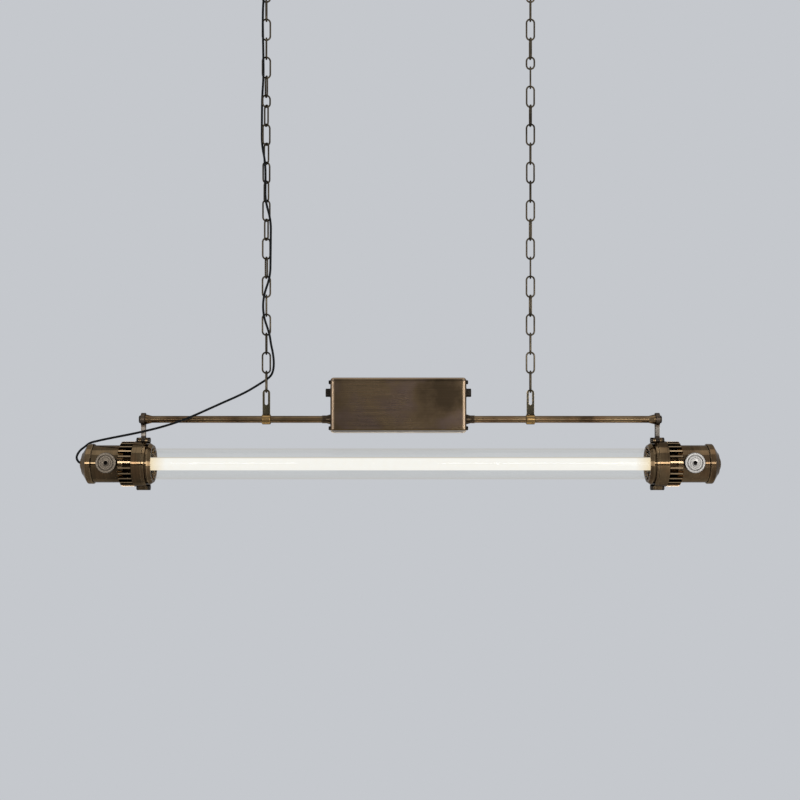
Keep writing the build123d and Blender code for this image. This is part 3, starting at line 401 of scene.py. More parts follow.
@dataclass(frozen=True)
class AgedMetal(Finish):
    """A patinated metal: smoky blotches, fine tool marks, worn bright edges and painted shade that darkens its
    corners.
    """

    patina: Colour
    body: Colour
    bare: Colour
    grain: Grain
    rough: float = 0.3
    blotch: float = 14.0
    patch_ratio: float = 4.7
    flush_ratio: float = 1.7
    edge: float = 0.9 * MM
    wear: float = 0.8
    # How strongly and how far painted shade darkens the corners.
    crevice_shade: float = 0.65
    shade_reach: float = 7.0 * MM
    streaks: float = 0.2
    marks: float = 0.3
    marks_depth: float = 0.05 * MM
    flush: Colour | None = None
    flush_share: float = 0.7
    bands: tuple[TurnedBand | LevelBand, ...] = ()
    rim: Colour = (0.6, 0.58, 0.56)
    dull: TurnedBand | None = None
    dull_rough: float = 0.4
    smoke_range: Range = (0.36, 0.64)
    flush_range: Range = (0.48, 0.66)
    wear_range: Range = (0.25, 0.6)
    least_wear: float = 0.35
    air_range: Range = (0.25, 0.9)

    def paint(self, tree: ShaderTree) -> None:
        """Add the finish's nodes.

        Args:
            tree: The new material's nodes.
        """
        streak = tree.noise(1.0, 4.0, stretch=self.grain.value)
        smoke = tree.noise(self.blotch, 5.0, 0.6)
        patch = tree.noise(self.blotch * self.patch_ratio, 3.0)
        colour = tree.mix(tree.spread(smoke, *self.smoke_range), self.patina, self.body)
        if self.flush is not None:
            blush = tree.noise(self.blotch * self.flush_ratio, 3.0)
            share = tree.spread(blush, *self.flush_range, 0.0, self.flush_share)
            colour = tree.mix(share, colour, self.flush)
        shift = tree.spread(streak, *NOISE_RANGE, 1.0 - self.streaks, 1.0 + self.streaks)
        colour = tree.shade(colour, shift)
        wear = tree.spread(patch, *self.wear_range, self.least_wear, self.wear)
        colour = tree.mix(tree.math("MULTIPLY", tree.edges(self.edge), wear), colour, self.bare)
        for band in self.bands:
            colour = tree.mix(band.mask(tree), colour, band.colour)
        # Painted shade: ambient occlusion darkens the colour in corners and crevices.
        air = tree.spread(tree.open_air(self.shade_reach), *self.air_range, 1.0 - self.crevice_shade, 1.0)
        colour = tree.shade(colour, air)
        smoky = tree.spread(smoke, *NOISE_RANGE, 0.07, -0.05)
        marked = tree.spread(streak, *NOISE_RANGE, -0.03, 0.04)
        rough = tree.math("ADD", tree.math("ADD", smoky, marked), self.rough)
        metal: float | Socket = 1.0
        if self.dull is not None:
            oxide = self.dull.mask(tree)
            colour = tree.mix(oxide, colour, self.dull.colour)
            rough = tree.math("ADD", rough, tree.math("MULTIPLY", oxide, self.dull_rough))
            metal = tree.spread(oxide, 0.0, 1.0, 1.0, 0.0)
        tree.relief(tree.math("ADD", streak, tree.math("MULTIPLY", patch, 0.5)), self.marks, self.marks_depth)
        tree.set(Base_Color=colour, Roughness=rough, Metallic=metal, Specular_Tint=self.rim)


@dataclass(frozen=True)
class TurnedNickel(Finish):
    """Bright plate with the rings of a lathe about a line along Y."""

    centre: Point
    light: Colour
    dark: Colour
    rough: float = 0.26
    stain_rough: float = 0.16
    stain_scale: float = 160.0
    ring_scale: float = 560.0
    marks: float = 0.12
    marks_depth: float = 0.1 * MM
    shade_reach: float = 3.0 * MM
    hole_soft: float = 0.3 * MM
    hole: float = 3.7 * MM
    shadow: Colour = linear(16, 14, 12)

    def paint(self, tree: ShaderTree) -> None:
        """Add the finish's nodes.

        Args:
            tree: The new material's nodes.
        """
        offset = tree.add("ShaderNodeVectorMath", {0: tree.place, 1: self.centre}, operation="SUBTRACT")
        level = {0: offset.outputs["Vector"], 1: (1.0, 0.0, 1.0)}
        flat = tree.add("ShaderNodeVectorMath", level, operation="MULTIPLY")
        length = tree.add("ShaderNodeVectorMath", {0: flat.outputs["Vector"]}, operation="LENGTH")
        out = length.outputs["Value"]
        rings = {"W": out, "Scale": self.ring_scale, "Detail": 2.0}
        ring = tree.add("ShaderNodeTexNoise", rings, noise_dimensions="1D").outputs["Fac"]
        stain = tree.noise(self.stain_scale, 4.0)
        colour = tree.mix(tree.spread(ring, *NOISE_RANGE), self.dark, self.light)
        colour = tree.mix(tree.spread(stain, 0.5, 0.72, 0.0, 0.2), colour, self.dark)
        # Painted shade: ambient occlusion darkens the colour in the grooves and corners.
        colour = tree.shade(colour, tree.spread(tree.open_air(self.shade_reach), 0.3, 0.95, 0.2, 1.0))
        inside = tree.spread(out, self.hole, self.hole + self.hole_soft, 1.0, 0.0)
        colour = tree.mix(inside, colour, self.shadow)
        tree.relief(ring, self.marks, self.marks_depth)
        rough = tree.spread(stain, *NOISE_RANGE, self.rough, self.rough + self.stain_rough)
        tree.set(Base_Color=colour, Metallic=1.0, Roughness=rough)


@dataclass(frozen=True)
class ClearGlass(Finish):
    """Glass with a trace of dust on it, shown as a clear skin that doesn't bend the view."""

    tint: Colour = (0.99, 0.995, 0.985)
    depth_colour: Colour = (0.64, 0.43, 0.14)
    depth: float = 9.0

    def paint(self, tree: ShaderTree) -> None:
        """Add the finish's nodes.

        Args:
            tree: The new material's nodes.
        """
        dust = tree.noise(3.0, 4.0, stretch=(30.0, 30.0, 30.0))
        tree.set(
            Base_Color=self.tint,
            Roughness=tree.spread(dust, 0.4, 0.75, 0.0, 0.015),
            Transmission_Weight=1.0,
            IOR=1.0,
            Coat_Weight=0.45,
            Coat_IOR=1.4,
            Coat_Roughness=0.03,
        )
        body = tree.add("ShaderNodeVolumeAbsorption", {"Color": self.depth_colour, "Density": self.depth})
        tree.feed(tree.output.inputs["Volume"], body.outputs["Volume"])


@dataclass(frozen=True)
class LitDiffuser(Finish):
    """The frosted lamp: white along its length, creamy towards its ends, with a plain back along its top."""

    middle: Point
    half_length: float
    radius: float
    white: Colour = linear(253, 252, 247)
    cream: Colour = linear(236, 206, 138)
    back: Colour = linear(206, 196, 178)
    cream_from: float = 130.0 * MM
    cream_full: float = 80.0 * MM
    back_from: float = 0.86
    back_full: float = 0.96
    frost_scale: float = 90.0
    glow: float = 0.97
    throw: float = 3.0

    def paint(self, tree: ShaderTree) -> None:
        """Add the finish's nodes.

        Args:
            tree: The new material's nodes.
        """
        place_x, _, place_z = tree.split()
        along = tree.math("ABSOLUTE", tree.math("SUBTRACT", place_x, self.middle[0]), 0.0)
        end = tree.spread(along, self.half_length - self.cream_from, self.half_length - self.cream_full)
        frost = tree.noise(self.frost_scale, 3.0)
        colour = tree.mix(end, self.white, self.cream)
        colour = tree.mix(tree.spread(frost, 0.4, 0.8, 0.0, 0.06), colour, self.cream)
        rise = tree.math("SUBTRACT", place_z, self.middle[2])
        top = tree.spread(rise, self.back_from * self.radius, self.back_full * self.radius)
        colour = tree.mix(top, colour, self.back)
        rays = tree.add("ShaderNodeLightPath").outputs
        bounced = tree.math("ADD", rays["Glossy Depth"], rays["Diffuse Depth"])
        tree.set(
            Base_Color=(0.0, 0.0, 0.0),
            Roughness=0.5,
            Specular_IOR_Level=0.0,
            Emission_Color=colour,
            Emission_Strength=tree.spread(bounced, 0.0, 1.0, self.glow, self.throw),
        )


@dataclass(frozen=True)
class Moulded(Finish):
    """Plastic, rubber or board: a soft colour with a fine moulded grain."""

    colour: Colour
    deep: Colour
    rough: float = 0.5
    pebble: float = 900.0
    marks: float = 0.15
    marks_depth: float = 0.05 * MM
    gloss: float = 0.5
    cloud_scale: float = 60.0
    shade_reach: float = 5.0 * MM

    def paint(self, tree: ShaderTree) -> None:
        """Add the finish's nodes.

        Args:
            tree: The new material's nodes.
        """
        cloud = tree.noise(self.cloud_scale, 4.0)
        grain = tree.noise(self.pebble, 2.0)
        colour = tree.mix(tree.spread(cloud, 0.35, 0.7), self.colour, self.deep)
        # Painted shade: ambient occlusion darkens the colour in corners and crevices.
        colour = tree.shade(colour, tree.spread(tree.open_air(self.shade_reach), 0.2, 0.9, 0.45, 1.0))
        tree.relief(grain, self.marks, self.marks_depth)
        rough = tree.spread(cloud, *NOISE_RANGE, self.rough - 0.06, self.rough + 0.08)
        tree.set(Base_Color=colour, Roughness=rough, Specular_IOR_Level=self.gloss)


@dataclass
class Finishes:
    """Every finish of the light, built once."""

    brass_patina: Colour = linear(70, 55, 39)
    brass_body: Colour = linear(118, 98, 72)
    brass_bare: Colour = linear(222, 192, 150)
    brass_flush: Colour = linear(108, 83, 58)
    made: dict[str, bpy.types.Material] = field(default_factory=dict)

    def brass(self, name: str, grain: Grain, **changes: object) -> AgedMetal:
        """The light's aged brass with marks that run one way.

        Args:
            name: The finish's name.
            grain: Which way its marks run.
            **changes: Other fields of the finish.

        Returns:
            The finish.
        """
        fields = {"patina": self.brass_patina, "body": self.brass_body, "flush": self.brass_flush, **changes}
        return AgedMetal(name, bare=self.brass_bare, grain=grain, **fields)

    def build(self) -> None:
        """Build the materials that pieces share."""
        self.make(self.brass("brass_turned", Grain.AROUND, rough=0.11))
        self.make(self.brass("brass_drawn", Grain.ALONG, rough=0.2, edge=0.6 * MM))
        metals = (
            ("brass_dark", (44, 36, 28), (74, 62, 48), (196, 170, 132), Grain.AROUND, 0.24, 0.8),
            ("chain_bronze", (54, 48, 39), (92, 82, 66), (176, 158, 128), Grain.CAST, 0.34, 0.8),
            ("black_steel", (30, 27, 24), (50, 45, 40), (120, 110, 96), Grain.CAST, 0.34, 0.5),
            ("driver_case", (150, 150, 150), (190, 190, 190), (225, 225, 225), Grain.ALONG, 0.4, 0.8),
            ("lamp_metal", (170, 168, 160), (205, 202, 194), (235, 232, 226), Grain.AROUND, 0.3, 0.8),
            ("contact_brass", (170, 136, 76), (205, 170, 104), (235, 208, 150), Grain.ALONG, 0.25, 0.8),
        )
        for name, patina, body, bare, grain, rough, wear in metals:
            self.make(AgedMetal(name, linear(*patina), linear(*body), linear(*bare), grain, rough, wear=wear))
        self.make(ClearGlass("clear_glass"))
        sheath = {"pebble": 1400.0, "marks": 0.25, "gloss": 0.12}
        self.make(Moulded("cable_sheath", linear(8, 9, 10), linear(14, 15, 16), **sheath))
        self.make(Moulded("seal_rubber", linear(26, 26, 26), linear(38, 37, 36), 0.6))
        self.make(Moulded("white_plastic", linear(232, 230, 222), linear(214, 211, 200), 0.45))
        self.make(Moulded("board_white", linear(226, 228, 224), linear(206, 208, 202)))

    def make(self, finish: Finish) -> str:
        """Build a finish.

        Args:
            finish: The finish.

        Returns:
            Its name.
        """
        self.made[finish.name] = finish.material()
        return finish.name

    def put(self, piece: bpy.types.Object, name: str) -> None:
        """Give a piece one of the finishes."""
        piece.data.materials.clear()
        piece.data.materials.append(self.made[name])


class Lathe:
    """Turns a section about a line."""

    smallest_ring = 1e-7

    @staticmethod
    def turn(profile: Corners, steps: int) -> bmesh.types.BMesh:
        """Turn a closed section's (along, radius) corners about X.

        Args:
            profile: The corners, in order round the section.
            steps: The number of steps in a turn.

        Returns:
            The turned shape.
        """
        shape = bmesh.new()
        rings = []
        for along, radius in profile:
            if radius < Lathe.smallest_ring:
                rings.append([shape.verts.new((along, 0.0, 0.0))])
                continue
            ring = []
            for step in range(steps):
                angle = 2 * math.pi * step / steps
                ring.append(shape.verts.new((along, radius * math.cos(angle), radius * math.sin(angle))))
            rings.append(ring)
        for first, second in zip(rings, rings[1:] + rings[:1]):
            Lathe._bridge(shape, first, second, steps)
        bmesh.ops.recalc_face_normals(shape, faces=shape.faces)
        return shape

    @staticmethod
    def _bridge(shape: bmesh.types.BMesh, first: list, second: list, steps: int) -> None:
        """Join two rings, either of which may be a single point.

        Args:
            shape: The shape that gets the faces.
            first: One ring's corners.
            second: The other ring's corners.
            steps: The number of steps in a turn.
        """
        if len(first) == 1 and len(second) == 1:
            return
        for step in range(steps):
            after = (step + 1) % steps
            if len(first) == 1:
                corners = (first[0], second[after], second[step])
            elif len(second) == 1:
                corners = (first[step], first[after], second[0])
            else:
                corners = (first[step], first[after], second[after], second[step])
            shape.faces.new(corners)


class Shaper:
    """Adds pieces to the scene and softens their edges."""

    def __init__(self, smooth_limit: float = math.radians(28), round_limit: float = math.radians(35)) -> None:
        """Make the node group that shades faces smooth up to an angle.

        Args:
            smooth_limit: The largest angle between two faces that are shaded as one, in radians.
            round_limit: The smallest angle of an edge that is rounded, in radians.
        """
        self.smooth_group = self._smooth_by_angle(smooth_limit)
        self.round_limit = round_limit

    @staticmethod
    def _smooth_by_angle(limit: float) -> bpy.types.NodeTree:
        """Make a node group that keeps only the edges above an angle sharp.

        Args:
            limit: The angle between two faces, in radians.

        Returns:
            The node group.
        """
        group = bpy.data.node_groups.new("smooth_sides", "GeometryNodeTree")
        for way in ("INPUT", "OUTPUT"):
            group.interface.new_socket("Geometry", in_out=way, socket_type="NodeSocketGeometry")
        tree = NodeTree(group)
        start = tree.add("NodeGroupInput").outputs[0]
        faces = tree.add("GeometryNodeSetShadeSmooth", {"Geometry": start}, domain="FACE")
        angle = tree.add("GeometryNodeInputMeshEdgeAngle").outputs["Unsigned Angle"]
        angles = {0: angle, 1: limit}
        flat = tree.add("FunctionNodeCompare", angles, data_type="FLOAT", operation="LESS_EQUAL")
        shading = {"Geometry": faces.outputs["Geometry"], "Shade Smooth": flat.outputs["Result"]}
        edges = tree.add("GeometryNodeSetShadeSmooth", shading, domain="EDGE")
        tree.add("NodeGroupOutput", {0: edges.outputs["Geometry"]})
        return group

    def smooth(self, piece: bpy.types.Object) -> None:
        """Shade a piece smooth, with its sharp edges kept."""
        modifier = piece.modifiers.new("smooth_sides", "NODES")
        modifier.node_group = self.smooth_group

    def soften(self, piece: bpy.types.Object, width: float, steps: int) -> None:
        """Round a piece's sharp edges a little, then shade it smooth.

        Args:
            piece: The piece.
            width: The width of the rounding.
            steps: The number of faces across it.
        """
        bevel = piece.modifiers.new("edge_rounding", "BEVEL")
        bevel.width = width
        bevel.segments = steps
        bevel.limit_method = "ANGLE"
        bevel.angle_limit = self.round_limit
        bevel.use_clamp_overlap = True
        self.smooth(piece)

    @staticmethod
    def add(name: str, shape: bmesh.types.BMesh) -> bpy.types.Object:
        """Put a shape in the scene as a piece.

        Args:
            name: The piece's name.
            shape: Its shape, which is used up.

        Returns:
            The piece.
        """
        mesh = bpy.data.meshes.new(name)
        shape.to_mesh(mesh)
        shape.free()
        piece = bpy.data.objects.new(name, mesh)
        bpy.context.collection.objects.link(piece)
        return piece

    def turned(self, name: str, profile: Corners, place: Matrix, steps: int) -> bpy.types.Object:
        """Turn a profile and put it in place as a piece.

        Args:
            name: The piece's name.
            profile: The section's (along, radius) corners.
            place: Where the turning line's X goes.
            steps: The number of steps in a turn.

        Returns:
            The piece.
        """
        piece = self.add(name, Lathe.turn(profile, steps))
        piece.data.transform(place)
        self.smooth(piece)
        return piece


@dataclass
class Kit:
    """What every sub-assembly works with: the loaded frame, the finishes and the shaper."""

    frame: dict
    finishes: Finishes
    shaper: Shaper

    def dress(self, names: list[str], finish: str, width: float, steps: int = 2) -> None:
        """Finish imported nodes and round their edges.

        Args:
            names: The nodes.
            finish: The finish's name.
            width: The width of the edges' rounding, or 0 for none.
            steps: The number of faces across it.
        """
        for name in names:
            piece = self.frame["nodes"][name]
            self.finishes.put(piece, finish)
            if width > 0:
                self.shaper.soften(piece, width, steps)
            else:
                self.shaper.smooth(piece)
            log.info("%s: %s", name, finish)

    def stand_for(self, piece: bpy.types.Object, node: str, body: str, finish: str, slot: str) -> None:
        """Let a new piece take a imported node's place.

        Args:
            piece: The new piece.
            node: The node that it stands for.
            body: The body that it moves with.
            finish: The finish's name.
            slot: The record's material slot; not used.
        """
        self.finishes.put(piece, finish)
        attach(piece, body)
        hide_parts(node)
        log.info("%s stands for %s", piece.name, node)


@dataclass
class GlassAndLamp:
    """The clear tube and the lit lamp in it."""

    kit: Kit
    polish: float = 0.6 * MM
    polish_cut: float = 0.3
    wall: float = 2.5 * MM
    glass_steps: int = 128
    lamp_wall: float = 0.8 * MM
    lamp_cuts: int = 24
    lamp_steps: int = 64

    def build(self) -> None:
        """Make the glass and the lamp, and dress the lamp's small pieces."""
        self._glass()
        self._lamp()
        self.kit.dress(["lamp_end_caps"], "lamp_metal", 0.4 * MM, 3)
        self.kit.dress(["lamp_pins"], "contact_brass", 0.3 * MM)
        self.kit.dress(["led_board"], "board_white", 0.2 * MM)

    def _glass(self) -> None:
        """The glass, with fire polished ends."""
        low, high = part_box("glass_tube")
        half, outer = (high[0] - low[0]) / 2, (high[1] - low[1]) / 2
        left = self._glass_end(-1, half, outer)
        section = left[::-1] + self._glass_end(1, half, outer)
        place = Matrix.Translation(middle_of("glass_tube"))
        piece = self.kit.shaper.turned("glass", section, place, self.glass_steps)
        self.kit.stand_for(piece, "glass_tube", "lamp_unit", "clear_glass", "clear_glass")

    def _glass_end(self, sign: int, half: float, outer: float) -> Corners:
        """One rounded end of the glass's section.

        Args:
            sign: The sign of the end's X.
            half: Half the tube's length.
            outer: The tube's outer radius.

        Returns:
            The (along, radius) corners, from the outer side to the inner one.
        """
        end, inner, corner = sign * half, outer - self.wall, self.polish
        cut = self.polish_cut * corner
        back, slight = end - sign * corner, end - sign * cut
        outside = [(back, outer), (slight, outer - cut), (end, outer - corner)]
        return outside + [(end, inner + corner), (slight, inner + cut), (back, inner)]

    def _lamp(self) -> None:
        """The frosted lamp tube."""
        low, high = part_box("lamp_tube")
        half, outer = (high[0] - low[0]) / 2, (high[1] - low[1]) / 2
        inner = outer - self.lamp_wall
        cuts = [half * (2 * step / self.lamp_cuts - 1) for step in range(self.lamp_cuts + 1)]
        section = [(along, outer) for along in cuts] + [(along, inner) for along in reversed(cuts)]
        middle = middle_of("lamp_tube")
        piece = self.kit.shaper.turned("lit_lamp", section, Matrix.Translation(middle), self.lamp_steps)
        finish = self.kit.finishes.make(LitDiffuser("lamp_glow", middle, half, outer))
        self.kit.stand_for(piece, "lamp_tube", "lamp_unit", finish, "lamp_diffuser")


@dataclass(frozen=True)
class HeadLitAndShadedTones:
    """What differs between the two heads: lit and shaded copies of their metals' colours, one per side as the
    light falls (painted light), and how black the painted shade in the fins' gaps is.
    """

    patina: Colour
    body: Colour
    gap_shade_strength: float
    steel: tuple[Colour, Colour, Colour]
    nickel: tuple[Colour, Colour]


# Painted light: each side's colours are lighter or darker copies of the same metals, matching how the light
# falls on that head.
HEAD_LIT_AND_SHADED_TONES = {
    Side.LEFT: HeadLitAndShadedTones(
        patina=linear(58, 46, 32),
        body=linear(98, 82, 60),
        gap_shade_strength=0.8,
        steel=(linear(126, 117, 107), linear(160, 150, 138), linear(206, 196, 182)),
        nickel=(linear(134, 123, 109), linear(78, 70, 60)),
    ),
    Side.RIGHT: HeadLitAndShadedTones(
        patina=linear(70, 55, 39),
        body=linear(118, 98, 72),
        gap_shade_strength=0.55,
        steel=(linear(92, 86, 79), linear(120, 113, 104), linear(186, 178, 166)),
        nickel=(linear(178, 175, 170), linear(112, 108, 103)),
    ),
}


@dataclass(frozen=True)
class PlugSection:
    """The section of a turned plug: a stem, a round rim, a groove, two fine sunk rings and a hole."""

    stem: float = 14.0 * MM
    rim_thick: float = 4.2 * MM
    rim_width: float = 4.2 * MM
    rim_round: float = 1.1 * MM
    soft: float = 0.4 * MM
    groove_depth: float = 1.8 * MM
    groove_from: float = 4.7 * MM
    groove_to: float = 6.5 * MM
    groove_lean: float = 0.1 * MM
    lip: float = 0.3 * MM
    face: float = 0.5 * MM
    cut: float = 0.8 * MM
    rings: tuple[float, float] = (10.6 * MM, 7.4 * MM)
    ring_foot: float = 0.4 * MM
    ring_brim: float = 0.6 * MM
    hole_rim: float = 4.6 * MM
    hole_lip: float = 0.7 * MM
    hole: float = 3.7 * MM
    hole_foot: float = 3.55 * MM
    hole_depth: float = 6.6 * MM
    hole_tip: float = 7.4 * MM

    def corners(self, radius: float, depth: float) -> Corners:
        """The section from the back of the stem round the face to the hole.

        Args:
            radius: The plug's largest radius.
            depth: Its length along its line.

        Returns:
            The (depth from the face, radius) corners.
        """
        stem, soft, thick = self.stem, self.soft, self.rim_thick
        corners = [(depth, 0.0), (depth, stem - 2 * soft), (depth - soft, stem - soft), (thick, stem - soft)]
        corners += [(thick, radius - soft), (thick - soft, radius), (self.rim_round, radius)]
        corners += [(soft, radius - soft), (0.0, radius - self.rim_round), (0.0, radius - self.rim_width)]
        corners += [(self.lip, radius - self.rim_width - soft), (self.groove_depth, radius - self.groove_from)]
        inner = radius - self.groove_to
        corners += [(self.groove_depth, inner), (self.cut, inner - self.groove_lean)]
        corners.append((self.face, inner - self.face))
        for ring in self.rings:
            corners += [(self.face, ring + self.ring_brim), (self.cut, ring + self.ring_foot)]
            corners += [(self.cut, ring - self.ring_foot), (self.face, ring - self.ring_brim)]
        corners += [(self.lip, self.hole_rim), (self.hole_lip, self.hole)]
        return corners + [(self.hole_depth, self.hole_foot), (self.hole_tip, 0.0)]


@dataclass
class Head:
    """One brass head: its casting, ring, cap, hanger and turned plug."""

    kit: Kit
    side: Side
    rounding: float = 0.45 * MM
    shine: float = 0.11
    fins_from_plug: float = 48.6 * MM
    fin_start: float = 0.4 * MM
    fin_length: float = 29.3 * MM
    fin_radius: float = 44.7 * MM
    neck_length: float = 17.6 * MM
    # Painted shade: how deep, how soft and how dark the black in the neck's fin gaps is.
    gap_depth: float = 2.5 * MM
    gap_soft: float = 8.0 * MM
    gap_shade: Colour = linear(18, 14, 10)
    bore_radius: float = 34.0 * MM
    bore_brown: Colour = linear(66, 54, 40)
    bore_strength: float = 0.95
    eye_height: float = 26.0 * MM
    eye_soft: float = 4.0 * MM
    eye_brown: Colour = linear(74, 62, 50)
    foot_height: float = 15.0 * MM
    foot_soft: float = 2.0 * MM
    foot_black: Colour = linear(34, 28, 23)
    paint_strength: float = 0.92
    plug_steps: int = 96

    def build(self) -> None:
        """Dress the head's nodes and make its plug."""
        word = self.side.word
        self._casting()
        self._mouth()
        self.kit.dress([f"{word}_end_cap"], "brass_turned", self.rounding, 3)
        self._hanger()
        self.kit.dress([f"{word}_glass_gasket"], "seal_rubber", 0.5 * MM)
        self.kit.dress([f"{word}_lampholder"], "white_plastic", 0.5 * MM)
        self.kit.dress([f"{word}_lampholder_plate"], "driver_case", 0.3 * MM)
        self._plug()

    def _casting(self) -> None:
        """Dress the casting, with the tips of its fins rubbed bare and painted shade making the gaps at its
        neck black.
        """
        word, sign = self.side.word, self.side.value
        finishes, tones = self.kit.finishes, HEAD_LIT_AND_SHADED_TONES[self.side]
        root = middle_of(f"{word}_side_plug")[0] - sign * self.fins_from_plug
        axis = middle_of("glass_tube")[2]
        first, last = sorted((root + sign * self.fin_start, root + sign * self.fin_length))
        tips = TurnedBand(finishes.brass_bare, first, last, axis, self.fin_radius)
        # Painted shade: the gaps between the fins at the neck are painted near black.
        first, last = sorted((root, root + sign * self.neck_length))
        inner = self.fin_radius - self.gap_depth
        gaps = TurnedBand(self.gap_shade, first, last, axis, inner, False, tones.gap_shade_strength, self.gap_soft)
        changes = {"patina": tones.patina, "body": tones.body, "bands": (tips, gaps)}
        finish = finishes.brass(f"{word}_brass_cast", Grain.AROUND, rough=self.shine, **changes)
        self.kit.dress([f"{word}_head_body"], finishes.make(finish), self.rounding, 3)

    def _mouth(self) -> None:
        """Dress the clamp ring, with a dull brown bore."""
        word, finishes = self.side.word, self.kit.finishes
        node = f"{word}_clamp_ring"
        low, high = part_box(node)
        axis = middle_of("glass_tube")[2]
        ends, strength = (low[0], high[0]), self.bore_strength
        bore = TurnedBand(self.bore_brown, *ends, axis, self.bore_radius, outside=False, strength=strength)
        finish = finishes.brass(f"{word}_brass_mouth", Grain.AROUND, rough=self.shine, dull=bore)
        self.kit.dress([node], finishes.make(finish), self.rounding, 3)

    def _hanger(self) -> None:
        """Dress the hanger: worn grey steel with a dark eye and foot."""
        word, steel = self.side.word, HEAD_LIT_AND_SHADED_TONES[self.side].steel
        node = f"{word}_hanger"
        low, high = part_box(node)
        top, bottom, strength = high[2], low[2], self.paint_strength
        eye = LevelBand(self.eye_brown, top - self.eye_height, top + self.eye_height, strength, self.eye_soft)
        height = self.foot_height
        foot = LevelBand(self.foot_black, bottom - height, bottom + height, strength, self.foot_soft)
        finish = AgedMetal(f"{word}_worn_steel", *steel, Grain.UPRIGHT, 0.36, bands=(eye, foot))
        self.kit.dress([node], self.kit.finishes.make(finish), 0.8 * MM, 3)

    def _plug(self) -> None:
        """The turned plug, with the fine rings of its face."""
        word = self.side.word
        node = f"{word}_side_plug"
        low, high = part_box(node)
        centre = ((low[0] + high[0]) / 2, low[1], (low[2] + high[2]) / 2)
        section = PlugSection().corners((high[0] - low[0]) / 2, high[1] - low[1])
        finish = self.kit.finishes.make(TurnedNickel(f"{word}_nickel", centre, *HEAD_LIT_AND_SHADED_TONES[self.side].nickel))
        place = Matrix.Translation(centre) @ Matrix.Rotation(math.pi / 2, 4, "Z")
        piece = self.kit.shaper.turned(f"{word}_plug", section, place, self.plug_steps)
        self.kit.stand_for(piece, node, "lamp_unit", finish, "nickel")


# Painted shade: the right plate is a darker copy of the same brass, to offset the brighter light on that side.
PLATE_LIT_AND_SHADED_TONES = {
    Side.LEFT: (linear(54, 50, 38), linear(82, 75, 58), linear(204, 176, 134)),
    Side.RIGHT: (linear(32, 29, 22), linear(50, 46, 36), linear(204, 176, 134)),
}


